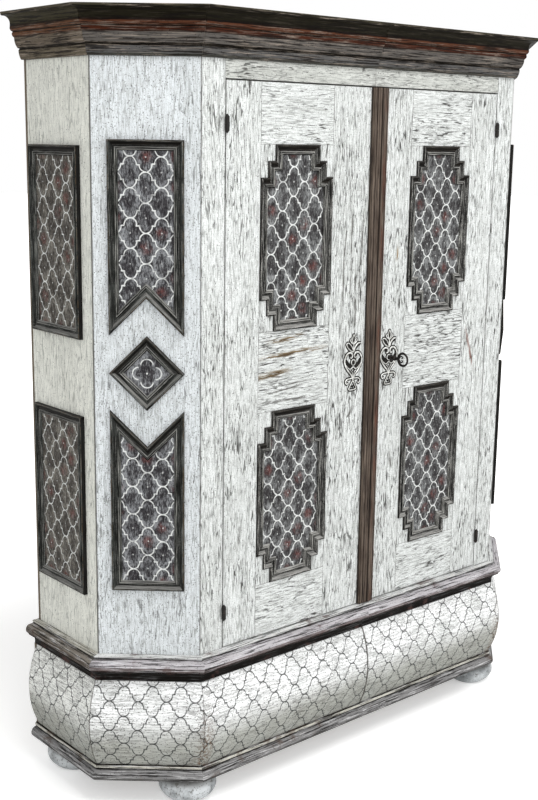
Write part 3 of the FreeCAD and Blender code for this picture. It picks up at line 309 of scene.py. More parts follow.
# %% Cracks and chips
def crackle_layers(f, place, grain, handled):
    """Threads, hair cracks, open cracks and chips as four masks, more where `handled`.

    Paint breaks into plates that are long along the grain. Their borders are where the
    distance to the nearest edge of a stretched cell pattern is small, so every crack keeps
    one width. Noise bends the cells, leaves most borders whole and thins the cracks in
    some zones. Threads are the raised fibres of the wood under the paint, a fine noise
    stretched the same way.
    """
    run = f.stretch(place, grain)
    bend = f.node("ShaderNodeTexNoise", None, {"Vector": run, "Scale": 130.0, "Detail": 2.0},
                  "Color")
    bent = f.node("ShaderNodeVectorMath", {"operation": "MULTIPLY_ADD"},
                  {0: bend, 1: (0.007, 0.007, 0.007), 2: run})
    patches = f.noise(place, 7.0, 3.0, 0.6) + handled * 0.10
    shorter = f.stretch(place, with_stretch(grain, 2 * STRETCH))
    broken = f.noise(shorter, 150.0, 2.0)
    zones = f.noise(f.stretch(place, with_stretch(grain, 0.3)), 17.0, 4.0, 0.68).fade(0.44, 0.62)
    fibres = f.noise(run, 370.0, 3.0, 0.65).fade(0.42, 0.66)
    grit = f.noise(place, 430.0, 2.0).fade(0.46, 0.66)
    lifted = f.noise(f.shifted(run, (7.7, 1.3, 4.9)), 300.0, 2.0).fade(0.57, 0.66)
    threads = (fibres * 0.60 + grit * 0.60 + lifted * 0.75).smallest(1.4)
    hair = f.cells(bent, 170.0, "DISTANCE_TO_EDGE").fade(0.100, 0.045)
    hair = hair * (broken + handled * 0.03).fade(0.45, 0.53) * (zones * 0.55 + 0.45)
    wide = f.cells(f.shifted(bent, (0.9, 3.3, 0.2)), 64.0, "DISTANCE_TO_EDGE")
    crack = wide.fade(0.060, 0.030) * broken.fade(0.49, 0.40) * patches.fade(0.50, 0.57)
    chips = f.noise(f.shifted(shorter, (0.4, 9.2, 5.5)), 190.0, 4.0, 0.7, 0.2)
    return threads, hair, crack, chips.fade(0.685, 0.715) * patches.fade(0.40, 0.55)


def specks(f, place, scale, share):
    """Small dark dots: points of a cell pattern where a random number is below `share`."""
    distance = f.cells(place, scale)
    lucky = f.chance(f.cells(place, scale, out="Position")) < share
    return distance.fade(0.34, 0.14) * lucky


print("white paint breaks in threads, hair cracks, open cracks and chips")


# %% White crackled paint
def corner_seam(f, place):
    """The open joint on the cant's two corners: full within 1 mm of a line, gone at 3 mm.

    In plan, the distance along the cant is |x| and y measured on the cant's direction.
    """
    x, y, _ = f.split(place)
    along = (abs(x) * -1 - CANT_MIDDLE.x) * CANT_ALONG.x + (y - CANT_MIDDLE.y) * CANT_ALONG.y
    side_joint = abs(along + CANT_LENGTH / 2).fade(0.0030, 0.0012)
    front_joint = abs(along - CANT_LENGTH / 2).fade(0.0026, 0.0010)
    return side_joint.largest(front_joint * 0.55)


def white_paint(name, grain, light, dull, lines=1.0, dots=0.25, stain=None, hands=None):
    """Paint between two screen colours, with cracks along `grain` and dark board edges.

    `lines` and `dots` say how many cracks and specks show. `hands` gives the stretch that
    hands wore: its axis, its middle, and how far from there wear starts and is full.
    """
    f = Finish(name)
    place = f.place()
    handled = 0.0
    if hands:
        axis, middle, outer, inner = hands
        handled = abs(f.split(place)[axis] - middle).fade(outer, inner)
    threads, hair, crack, chips = crackle_layers(f, place, grain, handled)
    cloud = f.noise(f.stretch(place, grain), 30.0, 5.0, 0.7)
    clouds = f.noise(place, 3.2, 3.0, 0.6)
    dulled = (cloud * 0.8 + clouds * 0.4 - 0.08).fade(0.32, 0.80)
    dirt = specks(f, place, 190.0, dots).largest(specks(f, place, 330.0, dots) * 0.7)
    tone = f.coats(f.mix(chip(*light), chip(*dull), dulled),
                   ((138, 140, 136), threads * (0.24 + 0.38 * lines)),
                   ((84, 85, 82), hair * (0.30 + 0.65 * lines)),
                   ((128, 124, 114), chips * (0.35 + 0.25 * lines)),
                   ((46, 43, 40), crack * (0.30 + 0.60 * lines)),
                   ((50, 47, 44), dirt * 0.75))
    if stain:
        tone = stain(f, place, tone)
    worn = f.noise(place, 45.0, 3.0, 0.6).fade(0.10, 0.42)
    seam = f.edges(0.0032).fade(0.01, 0.22).largest(corner_seam(f, place))
    tone = f.coats(tone, ((60, 56, 51), seam * worn * 0.85))
    height = 1 - (hair * 0.35 + crack).smallest(1.0) * 0.8 - chips * 0.4 - threads * 0.2
    rough = 0.50 + 0.2 * cloud + 0.2 * crack
    return f.finish(tone, rough, f.bump(height, 0.0008))


print("the canted boards are", round(CANT_LENGTH, 3), "m wide between their open joints")


# %% Strokes along the grain
def streaks_at(f, place, spots, grain):
    """Soft strokes, each (x, z, slope, half length, half width), curved like the grain.

    A stroke is where |z - z0 - slope * (x - x0) + wave| is small and |x - x0| is in reach,
    with x and z swapped for upright strokes. The wave is up to 5 mm of slow noise.
    """
    x, _, z = f.split(place)
    wave = (f.noise(f.stretch(place, (7, 1, 1)), 1.2, 2.0) - 0.5) * 0.010
    run, rise = (x, z) if grain == LEVEL else (z, x)
    shade = None
    for spot_run, spot_rise, slope, reach, width in spots:
        away = abs(rise - spot_rise - slope * (run - spot_run) + wave)
        stroke = away.fade(width * 1.5, width * 0.2) * abs(run - spot_run).fade(
            reach, reach * 0.35)
        shade = stroke if shade is None else shade.largest(stroke)
    streaky = f.noise(f.stretch(place, grain), 240.0, 5.0, 0.7)
    return shade * streaky.fade(0.40, 0.54)


print("a stroke is (x, z, slope, half length, half width)")


# %% Stains and knots
RAIL_RESIN = ((-0.294, 1.181, 0.10, 0.075, 0.006), (-0.272, 1.144, 0.05, 0.150, 0.006),
              (-0.335, 1.096, 0.12, 0.075, 0.008))
RAIL_SPLITS = ((-0.270, 1.025, -0.02, 0.130, 0.0030), (-0.300, 1.052, 0.10, 0.090, 0.0025),
               (-0.255, 1.066, 0.06, 0.060, 0.0025))
STILE_RUST = ((1.088, 0.421, -0.32, 0.075, 0.005),)
STILE_RESIN = ((1.380, 0.104, 0.17, 0.028, 0.005),)
STILE_KNOTS = ((0.964, -0.056, 0.60, 0.018, 0.007), (0.805, 0.104, -0.29, 0.036, 0.006),
               (0.700, -0.440, 0.02, 0.045, 0.004))
STILE_SPLITS = ((1.330, -0.094, 0.03, 0.190, 0.0042), (1.390, -0.068, 0.00, 0.150, 0.0034),
                (1.250, -0.050, -0.02, 0.150, 0.0034), (1.370, -0.034, 0.05, 0.140, 0.0040))


def rail_stains(f, place, tone):
    """Ochre streaks of resin and long splits across the left door's middle rail."""
    resin = streaks_at(f, place, RAIL_RESIN, LEVEL)
    core = streaks_at(f, f.shifted(place, (0.006, 0.0, 0.003)), RAIL_RESIN, LEVEL)
    splits = streaks_at(f, place, RAIL_SPLITS, LEVEL)
    return f.coats(tone, ((122, 100, 60), resin * 0.95), ((66, 52, 36), core * resin),
                   ((74, 71, 66), splits * 0.9))


def stile_stains(f, place, tone):
    """A rusty streak on the right door, scratched knots, and splits up the left one."""
    rust, resin, knots, splits = (streaks_at(f, place, spots, UPRIGHT) for spots in (
        STILE_RUST, STILE_RESIN, STILE_KNOTS, STILE_SPLITS))
    return f.coats(tone, ((116, 70, 56), rust * 0.85), ((136, 112, 72), resin * 0.85),
                   ((70, 66, 60), knots.largest(splits) * 0.9))


print("strokes on the rails:", len(RAIL_RESIN + RAIL_SPLITS),
      "on the stiles:", len(STILE_RUST + STILE_RESIN + STILE_KNOTS + STILE_SPLITS))

# %% The five white finishes
DOOR_LIGHT, DOOR_DULL = (234, 237, 236), (214, 217, 215)
FINISHES = {
    "upright": white_paint("white_paint_upright", UPRIGHT, DOOR_LIGHT, DOOR_DULL,
                           stain=stile_stains, hands=(0, 0.0, 0.15, 0.13)),
    "cant": white_paint("white_paint_cant", UPRIGHT, (233, 238, 241), (216, 221, 223),
                        lines=0.5, dots=0.55),
    "side": white_paint("white_paint_side", UPRIGHT, (244, 245, 236), (226, 227, 218),
                        lines=0.35, dots=0.16),
    "level": white_paint("white_paint_level", LEVEL, DOOR_LIGHT, DOOR_DULL,
                         stain=rail_stains, hands=(2, 1.10, 0.14, 0.10)),
    # The frieze gets the same white made darker: painted shade under the cornice.
    "frieze": white_paint("white_paint_frieze", LEVEL, (218, 220, 215), (188, 190, 184)),
}
print("white paints:", ", ".join(FINISHES))

# %% Give the boards their paint
def paint(finish, *names):
    """Put one finish on solid nodes, in place of their plain colour."""
    for name in names:
        for slot in frame["nodes"][name].material_slots:
            slot.material = finish
    print(finish.name, "on", ", ".join(names))


SIDES = ("left", "right")
paint(FINISHES["upright"], *(f"hanging_stile_{s}" for s in SIDES),
      *(f"{s}_door_{piece}" for s in SIDES
        for piece in ("hinge_stile", "meeting_stile", "corner_blocks")))
paint(FINISHES["cant"], *(f"canted_board_{s}" for s in SIDES))
paint(FINISHES["side"], *(f"side_board_{s}" for s in SIDES))
paint(FINISHES["level"], *(f"{s}_door_rails" for s in SIDES))
paint(FINISHES["frieze"], *(f"frieze_{s}" for s in SIDES))

# %% [markdown]
# ## Grid surfaces
#
# Mouldings, frames, feet and scrolls are all one idea: a section that is carried along a
# path. The path's stations and the section's points make a grid, and neighbours in the
# grid make the faces. A curve object with a bevel would sweep too, but it can't cut a
# mitre, and it gives no map in metres for the paint. So the grids are worked out with
# numpy and put into a mesh in one go.

# %% Faces of a grid
def grid_faces(rows, columns, wrap_rows):
    """Corner indices of every cell: (r, c), (r, c+1), (r+1, c+1), (r+1, c).

    The last column always joins the first, and the last row does if `wrap_rows`.
    """
    row = np.arange(rows if wrap_rows else rows - 1)[:, None]
    column = np.arange(columns)[None, :]
    next_row, next_column = (row + 1) % rows, (column + 1) % columns
    corners = [row * columns + column, row * columns + next_column,
               next_row * columns + next_column, next_row * columns + column]
    return np.stack(corners, axis=-1).reshape(-1, 4)


print("faces of a ring of 3 rows and 4 columns:", len(grid_faces(3, 4, False)))


# %% Make a mesh from grids
class Shell:
    """Collects grids and caps, then makes one closed mesh with a map in metres."""

    def __init__(self):
        self.points, self.faces, self.maps = [], [], []
        self.count = 0

    def add(self, points, faces, along_across):
        """Add points, faces that index them, and one map pair for each point."""
        self.points.append(np.asarray(points, float).reshape(-1, 3))
        self.maps.append(np.asarray(along_across, float).reshape(-1, 2))
        self.faces += [tuple(int(i) + self.count for i in face) for face in faces]
        self.count += len(self.points[-1])

    def sweep(self, grid, along_across, wrap_rows=False):
        """A closed section in each row, joined row to row, with open ends capped."""
        rows, columns = grid.shape[:2]
        faces = grid_faces(rows, columns, wrap_rows).tolist()
        if not wrap_rows:
            faces.append(list(range(columns))[::-1])
            faces.append(list(range((rows - 1) * columns, rows * columns)))
        self.add(grid, faces, along_across)

    def mirrored(self, shift):
        """The same shell on the other side of x = 0, its map moved by `shift` metres."""
        other = Shell()
        other.points = [p * (-1, 1, 1) for p in self.points]
        other.maps = [m + (shift, 0) for m in self.maps]
        other.faces = [face[::-1] for face in self.faces]
        other.count = self.count
        return other

    def build(self, name, finish):
        """The mesh object, at the origin, with edges sharper than 35 degrees kept crisp."""
        mesh = bpy.data.meshes.new(name)
        points = np.concatenate(self.points)
        mesh.from_pydata(points.tolist(), [], self.faces)
        layer = mesh.uv_layers.new(name="along_and_across")
        corner_points = np.zeros(len(mesh.loops), int)
        mesh.loops.foreach_get("vertex_index", corner_points)
        layer.data.foreach_set("uv", np.concatenate(self.maps)[corner_points].ravel())
        mesh.polygons.foreach_set("use_smooth", [True] * len(mesh.polygons))
        mesh.set_sharp_from_angle(angle=math.radians(35))
        mesh.materials.append(finish)
        mesh.validate()
        piece = bpy.data.objects.new(name, mesh)
        bpy.context.scene.collection.objects.link(piece)
        print(f"{name}: {len(mesh.polygons)} faces")
        return piece


def stand_for(piece, body, slot, *nodes):
    """Let a piece ride on a body and replace solid nodes. `slot` is not used."""
    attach(piece, body)
    if nodes:
        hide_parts(*nodes)


print("a shell keeps its map in metres")


# %% Sections from corners and arcs
def arc_points(start, end, rise, steps):
    """Points on the arc that stands `rise` off its chord, to the right of travel.

    Along the chord t from 0 to 1, the height is the circle's: sqrt(R^2 - d^2) - (R - rise).
    """
    chord = end - start
    length = np.hypot(*chord)
    right = np.array([chord[1], -chord[0]]) / length
    radius = length ** 2 / (8 * abs(rise)) + abs(rise) / 2
    half = math.asin(min(1, length / 2 / radius))
    angle = np.linspace(-half, half, steps + 1)[:-1]
    t = np.sin(angle) * radius / length + 0.5
    lift = (np.cos(angle) * radius - (radius - abs(rise))) * np.sign(rise)
    return start + t[:, None] * chord + lift[:, None] * right


def section(corners, soften=0.0012, steps=12):
    """Closed outline from (out, up) corners, or (out, up, rise) where an arc follows.

    Each corner becomes three points of a small curve, so that edges catch light.
    """
    places = np.array([c[:2] for c in corners], float)
    line = []
    for i, corner in enumerate(corners):
        start, end = places[i], places[(i + 1) % len(places)]
        if len(corner) == 3:
            line.append(arc_points(start, end, corner[2], steps))
        else:
            line.append(start[None])
    line = np.concatenate(line)
    before, after = np.roll(line, 1, 0) - line, np.roll(line, -1, 0) - line
    before_length = np.hypot(*before.T)[:, None]
    after_length = np.hypot(*after.T)[:, None]
    bend = (before * after).sum(1)[:, None] / (before_length * after_length)
    cut = np.where(bend < -0.97, 0.0, soften)
    first = line + before / before_length * np.minimum(cut, before_length * 0.4)
    last = line + after / after_length * np.minimum(cut, after_length * 0.4)
    middle = (first + 2 * line + last) / 4
    rounded = np.stack([first, middle, last], 1).reshape(-1, 2)
    step = np.hypot(*(rounded - np.roll(rounded, 1, 0)).T)
    return rounded[step > 1e-6]


def run_of(outline):
    """Distance along an outline from its first point, in metres."""
    steps = np.hypot(*np.diff(outline, axis=0).T)
    return np.concatenate([[0], np.cumsum(steps)])


print("a softened square has", len(section([(0, 0), (1, 0), (1, 1), (0, 1)])), "points")

# %% [markdown]
# ## Mitred mouldings
#
# Each moulding goes round the half cupboard in three lengths: front, canted corner and
# side. The joiner saws the ends on the line that halves the corner, so a point of the
# section that stands out by r starts and ends where the two faces moved out by r meet.
# Blending between those two places gives the whole length, mitres included. A long bar
# could be cut with Booleans instead, but each cut would risk slivers at the mitre.

# %% Lengths between mitres
def front_corner(reach):
    """Plan place where front and canted faces, both moved out by reach, meet."""
    return np.stack([CORNER_X - FRONT_MITRE * reach, FACE_Y - reach], -1)


def side_corner(reach):
    """Plan place where side and canted faces, both moved out by reach, meet."""
    return np.stack([SIDE_X - reach, CANT_BACK_Y - SIDE_MITRE * reach], -1)


MITRE_GROOVE_END = 0.004            # share of a length over which its groove runs in
STATIONS = 9                        # sections along one length
MAP_GAP = 3.0                       # metres between the lengths' maps, so no two match
MIRROR_SHIFT = 0.37                 # moves the right half's map, so its wear differs
print(f"a mitre moves along by {FRONT_MITRE:.3f} in front and {SIDE_MITRE:.3f} at the side")


def mitred_lengths(outline, bottom, back, groove):
    """Shell of the left half's three lengths, from an outline of (reach, height).

    With a groove, the section stands back by that much at both ends of each length.
    """
    reach, height = outline.T
    across = run_of(outline)

    def corners_at(reach):
        """Plan places of the wall end, both mitres and the middle, for one reach."""
        return (np.stack([SIDE_X - reach, 0 * reach + back], -1), side_corner(reach),
                front_corner(reach), np.stack([0 * reach, FACE_Y - reach], -1))

    full, shy = corners_at(reach), corners_at(reach - groove)
    shell = Shell()
    for order, (i, j) in enumerate(((1, 0), (2, 1), (3, 2))):
        start, end = full[i], full[j]
        t = np.linspace(0, 1, STATIONS)
        if groove:
            t[[0, -1]] = MITRE_GROOVE_END, 1 - MITRE_GROOVE_END
        plan = start + t[:, None, None] * (end - start)
        if groove:
            plan = np.concatenate([shy[i][None], plan, shy[j][None]])
        grid = np.concatenate([plan, np.broadcast_to(bottom + height[:, None],
                                                     (len(plan), len(reach), 1))], -1)
        direction = (end - start)[0] / np.hypot(*(end - start)[0])
        centre = (start + end)[0] / 2
        along = (plan - centre) @ direction + MAP_GAP * order
        shell.sweep(grid, np.stack([along, np.broadcast_to(across, along.shape)], -1))
    return shell


def moulding_pair(name, outline, bottom, finish, back=BACK_Y, groove=0.0):
    """Left moulding and its mirror image, each standing for its own solid."""
    left = mitred_lengths(outline, bottom, back, groove)
    for side, shell in (("left", left), ("right", left.mirrored(MIRROR_SHIFT))):
        piece = shell.build(f"{name}_{side}_surface", finish)
        stand_for(piece, "root", SLOT_OF[f"{name}_{side}"], f"{name}_{side}")


SLOT_OF = {s["node"]: s["material_slot"] for s in frame["record"]["subparts"]}


def height_of(name):
    """Bottom and height of a node."""
    lowest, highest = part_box(name)
    return lowest.z, highest.z - lowest.z


def middle_of(name):
    """Middle of a node's box, as x, y and z."""
    return tuple((lowest + highest) / 2 for lowest, highest in zip(*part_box(name)))


def reach_of(name):
    """How far a moulding stands out from the side of the carcass."""
    return SIDE_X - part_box(name)[low].x


print("finish names:", ", ".join(sorted(set(SLOT_OF.values()))))

# %% [markdown]
# ## Banded mouldings
#
# Cornice, waist and plinth were painted in bands that follow the members of the section:
# grey, oxblood red and olive black above, grey round the torus, nearly black in the cove.
# Some bands are painted shade as well: thin dark lines in quirks and under overhangs, the
# cove, and the darker lower part of each torus.
# Each band could be a material of its own on its faces, but then no border could waver or
# wear. The map's second coordinate runs round the section, yet a band is easier to place
# by height, so one finish reads Z. Along the length the paint is rubbed in streaks.

# %% Which surface is past the mitre
def on_a_side(x, y):
    """1 where a moulding has turned from the cant to a side: past the mitre in plan."""
    return (y - CANT_BACK_Y + SIDE_MITRE * (abs(x) + SIDE_X)) > 0


def bands_of(shares, bottom, height):
    """Heights and paint chips from (share of the height, screen colour) pairs."""
    return [(bottom + share * height, chip(*colour)) for share, colour in shares]


print("mouldings turn", round(math.degrees(2 * math.atan(SIDE_MITRE))), "degrees at a side")


# %% Banded paint
WOBBLE = 0.0016                     # full width of a border's wandering, in metres


def banded_paint(name, bands, dusty, wear=1.0, blotches=None, side_bands=None, calm=None):
    """Colours by height: `bands` lists (from_z, colour) going up.

    `dusty` is the light streak colour, and `calm` the heights (from, to) it nearly leaves
    out. `blotches` is the colour of dark stains. `side_bands` are the sun-browned colours of
    the same members on the two sides. Borders wobble by a fraction of a millimetre.
    """
    f = Finish(name)
    place = f.place()
    x, y, z = f.split(place)
    streak_place = f.stretch(f.surface(), (0.045, 1.0, 1.0))
    wobble = (f.noise(place, 60.0, 2.0) - 0.5) * WOBBLE

    def banded(colours):
        """Colours laid over each other going up, each border a smooth step of 1.2 mm."""
        tone = colours[0][1]
        for from_z, colour in colours[1:]:
            tone = f.mix(tone, colour, (z + wobble).fade(from_z - 0.0006, from_z + 0.0006))
        return tone

    tone = banded(bands)
    if side_bands:
        tone = f.mix(tone, banded(side_bands), on_a_side(x, y))
    streaks = f.noise(streak_place, 240.0, 6.0, 0.68, 0.2)
    patches = f.noise(place, 11.0, 4.0, 0.6)
    if calm:
        rubbed = 1 - z.fade(calm[0] - 0.001, calm[0]) * z.fade(calm[1], calm[1] - 0.001) * 0.85
        wear = rubbed * wear
    dust = streaks.fade(0.51, 0.60) * patches.fade(0.30, 0.6) * 0.85 * wear
    dark = f.noise(f.shifted(streak_place, (5, 2, 1)), 210.0, 6.0, 0.7).fade(0.51, 0.57)
    tone = f.coats(tone, (dusty, dust), ((18, 14, 12), dark * 0.86))
    if blotches:
        stained = f.noise(place, 14.0, 5.0, 0.65).fade(0.56, 0.66) * 0.7
        tone = f.coats(tone, (blotches, stained))
    edge = f.edges(0.0018).fade(0.03, 0.35) * streaks.fade(0.3, 0.55) * 0.6 * wear
    tone = f.coats(tone, (dusty, edge), ((24, 20, 18), specks(f, place, 230.0, 0.3) * 0.8))
    height = streaks * 0.6 - dark * 0.6
    return f.finish(tone, 0.5 + 0.2 * streaks, f.bump(height, 0.0008), gloss=0.05)


print("borders wander over", WOBBLE * 1000, "mm")

# %% Plinth moulding
plinth_z, plinth_height = height_of("plinth_moulding_left")
plinth_reach = reach_of("plinth_moulding_left")
FRAME_DEPTH = 0.070                 # how far plinth and waist frame go in under the boards
PLINTH_TOP_DEPTH, WAIST_TOP_DEPTH = 0.040, 0.045


def members(reach, height, *corners):
    """Outline corners in metres, from (share of reach, share of height, share of rise)."""
    return [(c[0] * reach, c[1] * height) + tuple(rise * reach for rise in c[2:])
            for c in corners]


plinth_outline = section([(-FRAME_DEPTH, 0.0)] + members(
    plinth_reach, plinth_height, (0.56, 0.0, 0.44), (0.56, 0.70), (0.44, 0.74),
    (0.60, 0.80, 0.06), (0.47, 1.0)) + [(-PLINTH_TOP_DEPTH, plinth_height)])
# Painted shade: the torus is painted darker on its lower part, and the dark band at 0.70, under
# the bead, is partly painted shade.
PLINTH_BANDS = ((0.0, (94, 93, 92)), (0.30, (128, 127, 127)), (0.70, (30, 26, 22)),
                (0.80, (196, 194, 184)), (0.95, (44, 40, 36)))
plinth_paint = banded_paint("plinth_paint", bands_of(PLINTH_BANDS, plinth_z, plinth_height),
                            (208, 208, 208), blotches=(84, 70, 62))
moulding_pair("plinth_moulding", plinth_outline, plinth_z, plinth_paint, groove=0.0008)

# %% Waist moulding
waist_z, waist_height = height_of("waist_moulding_left")
waist_reach = reach_of("waist_moulding_left")
base_reach = 0.014                  # the base boards' foot and top stand out this far
waist_outline = section([(-FRAME_DEPTH, 0.0), (base_reach, 0.0, -0.2 * waist_reach)] + members(
    waist_reach, waist_height, (0.8, 0.45), (0.68, 0.48, 0.32), (0.6, 0.87), (0.40, 0.89),
    (0.40, 0.945), (0.46, 0.95), (0.46, 1.0)) + [(-WAIST_TOP_DEPTH, waist_height)])
# Painted shade: the near-black cove under the torus is partly dark paint and partly painted
# shade, the torus is painted darker towards its bottom, and the dark band at 0.885 in the groove
# is partly painted shade.
WAIST_FRONT = ((0.0, (14, 11, 8)), (0.46, (84, 71, 68)), (0.56, (124, 114, 114)),
               (0.68, (180, 176, 179)), (0.885, (34, 30, 27)), (0.925, (206, 207, 205)))
WAIST_SIDE = ((0.0, (18, 14, 10)), (0.46, (66, 55, 48)), (0.62, (96, 88, 80)),
              (0.76, (122, 116, 108)), (0.885, (34, 30, 27)), (0.925, (178, 176, 166)))
waist_paint = banded_paint("waist_paint", bands_of(WAIST_FRONT, waist_z, waist_height),
                           (222, 222, 224), blotches=(84, 62, 58),
                           side_bands=bands_of(WAIST_SIDE, waist_z, waist_height),
                           calm=(waist_z, waist_z + 0.47 * waist_height))
moulding_pair("waist_moulding", waist_outline, waist_z, waist_paint, groove=0.0008)

# %% [markdown]
# ## The bolt's hole
#
# The left door's lower bolt drops into a square hole in the waist frame, as the joiner
# would chop one with a chisel. The finer moulding needs that hole too, or the bolt would
# pass through wood. A hole could be built into the grid, but it would break the sweep for
# one small opening. So this is the one place where a Boolean is the simpler way.

# %% Hole for the left door's lower bolt
def square_hole(piece, middle, half_width, depth):
    """Cut an upright square hole down from the piece's top, with a Boolean made final.

    The cutter stands 4 mm above the top, so that no two faces lie in one plane.
    """
    cutter = Shell()
    x, y, top = middle
    turn = np.array([[-1, -1], [1, -1], [1, 1], [-1, 1]]) * half_width + (x, y)
    levels = np.array([top - depth, top + 0.004])
    grid = np.concatenate([np.broadcast_to(turn, (2, 4, 2)),
                           np.broadcast_to(levels[:, None, None], (2, 4, 1))], -1)
    cutter.sweep(grid, np.zeros((2, 4, 2)))
    tool = cutter.build("hole_cutter", piece.data.materials[0])
    cut = piece.modifiers.new("hole", "BOOLEAN")
    cut.operation, cut.solver, cut.object = "DIFFERENCE", "FAST", tool
    before = len(piece.data.polygons)
    bpy.context.view_layer.update()
    seen = piece.evaluated_get(bpy.context.evaluated_depsgraph_get())
    piece.data = bpy.data.meshes.new_from_object(seen)
    piece.modifiers.clear()
    bpy.data.objects.remove(tool)
    print(piece.name, "faces before and after the hole:", before, len(piece.data.polygons))


BOLT_HALF_WIDTH, BOLT_PLAY, BOLT_HOLE_DEPTH = 0.005, 0.001, 0.017
bolt_x, bolt_y = middle_of("left_bottom_bolt")[0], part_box("left_bottom_bolt")[low].y
square_hole(bpy.data.objects["waist_moulding_left_surface"],
            (bolt_x, bolt_y + BOLT_HALF_WIDTH, waist_z + waist_height),
            BOLT_HALF_WIDTH + BOLT_PLAY, BOLT_HOLE_DEPTH)

# %% [markdown]
# ## The cornice
#
# The cornice crowns the cupboard: a small bead, an ovolo, a fascia, a second ovolo and a
# deep cove under the top fillet. It is the same kind of sweep as the lower mouldings. A
# bevelled curve would be quicker to draw, but its mitres would not close on the faces.

# %% Cornice
cornice_z, cornice_height = height_of("cornice_left")
cornice_reach = reach_of("cornice_left")
CORNICE_SEAT = 0.011                # how far the cornice laps over the boards' top edge
cornice_outline = section(members(
    cornice_reach, cornice_height, (0.11, 0.0, 0.03), (0.22, 0.21), (0.17, 0.235),
    (0.26, 0.25, 0.04), (0.40, 0.47), (0.44, 0.485, 0.03), (0.49, 0.575), (0.45, 0.59),
    (0.50, 0.605, 0.04), (0.58, 0.70), (0.58, 0.73, -0.12), (0.90, 0.92), (0.97, 0.93),
    (1.0, 1.0), (0.35, 1.0)) + [
        (-CORNICE_SEAT, 0.6 * cornice_height), (-CORNICE_SEAT, 0.0)], soften=0.0009)
# Painted shadow: the narrow dark bands at 0.20, 0.58, 0.69 and 0.925 lie in quirks and under
# overhanging members, on the front and on the sides.
CORNICE_FRONT = ((0.0, (62, 62, 58)), (0.05, (86, 85, 84)), (0.20, (20, 17, 12)),
                 (0.265, (92, 88, 84)), (0.475, (48, 24, 14)), (0.50, (64, 31, 18)),
                 (0.58, (22, 12, 6)), (0.605, (84, 50, 34)), (0.69, (20, 11, 6)),
                 (0.735, (26, 23, 13)), (0.925, (14, 12, 5)), (0.95, (56, 52, 40)))
CORNICE_SIDE = ((0.0, (94, 86, 72)), (0.20, (34, 30, 24)), (0.265, (100, 90, 78)),
                (0.475, (62, 40, 26)), (0.50, (98, 66, 46)), (0.58, (36, 24, 16)),
                (0.605, (92, 62, 44)), (0.69, (34, 25, 16)), (0.735, (54, 50, 36)),
                (0.925, (30, 27, 18)), (0.95, (76, 70, 56)))
cove_calm = (cornice_z + 0.69 * cornice_height, cornice_z + 0.93 * cornice_height)
cornice_paint = banded_paint("cornice_paint", bands_of(CORNICE_FRONT, cornice_z, cornice_height),
                             (158, 146, 134), wear=0.75, calm=cove_calm,
                             side_bands=bands_of(CORNICE_SIDE, cornice_z, cornice_height))
moulding_pair("cornice", cornice_outline, cornice_z, cornice_paint, groove=0.0022)

# %% [markdown]
# ## The trellis
#
# The panels carry an old painted trellis of rounded, cusped cells. Two sets of half
# ellipses stand in staggered columns, and where the set changes from one column to the
# next a little barb joins them. The lines could be drawn as curves and laid on the panels,
# but paint has no thickness. Here they are a distance formula in the finish, so the
# pattern stays sharp at any zoom and needs no picture.

# %% The trellis formula
def trellis(f, along, up, period, rise, half_line):
    """Line mask, nearness to a line, distance from the cell's centre and cell number.

    The pattern repeats by `period` across and by `rise` upwards. `half_line` is half of a
    line's width.
    In cell units (u, v), half ellipses of radii 0.21 and 0.25 stand on the heights 0.25
    and 0.75, in the columns u = 0 and u = 0.5 in turn. The line is where
    sqrt((du / 0.21)^2 + (dv / 0.25)^2) is 1.
    """
    u, v = along / period, up / rise
    v_fold = v - v.floor()
    middle_rows = (v_fold > 0.25) * (v_fold < 0.75)
    shifted_u = u - 0.5 * middle_rows
    column = abs(shifted_u - (shifted_u + 0.5).floor())
    height = abs(abs(v_fold - 0.5) - 0.25)
    radius = ((column / 0.21) ** 2.0 + (height / 0.25) ** 2.0) ** 0.5
    near_line = abs(radius - 1) * (0.22 * period)
    line = 1 - (near_line / half_line).fade(0.75, 1.35)
    barb = (abs(column - 0.245) * period).fade(0.075 * period, 0.055 * period)
    barb = barb * (1 - (height * rise / half_line).fade(0.8, 1.5))
    cell_row = (v * 2 + 0.5).floor()
    odd_row = cell_row * 0.5 - (cell_row * 0.5).floor()
    cell_u = u - 0.5 + odd_row
    centre_u = (cell_u + 0.5).floor()
    from_centre = (((cell_u - centre_u) * period) ** 2.0
                   + ((v - cell_row * 0.5) * rise) ** 2.0) ** 0.5
    cell = f.join(centre_u, cell_row, 0.5)
    return line.largest(barb), near_line.fade(0.17 * period, 0.01), from_centre, cell


print("trellis cells are about 71 mm each way")

# %% One quatrefoil in each diamond
CANT_DIAMOND_Z = 1.122
LOBE_OFFSET, LOBE_RADIUS = 0.0195, 0.0150


def one_quatrefoil(across, z, drawn):
    """In the diamond the trellis gives way to a single quatrefoil with a dot.

    Its outline is the farthest-out of four circles about the centre: the line is where
    the distance to the nearest circle's centre is that circle's radius.
    """
    up = z - CANT_DIAMOND_Z
    a, b = abs(across), abs(up)
    wide, narrow = a.largest(b), a.smallest(b)
    lobe = ((wide - LOBE_OFFSET) ** 2.0 + narrow ** 2.0) ** 0.5
    line = abs(lobe - LOBE_RADIUS).fade(0.0019, 0.0009) * (wide - narrow).fade(0.004, 0.008)
    dot = ((a ** 2.0 + b ** 2.0) ** 0.5).fade(0.0028, 0.0016)
    in_diamond = abs(up).fade(0.0905, 0.0895)
    return drawn * (1 - in_diamond) + line.largest(dot) * in_diamond


print("diamonds at", CANT_DIAMOND_Z, "m")


# %% Painted fields
DARK_GROUND = ((50, 48, 49), (142, 144, 144))


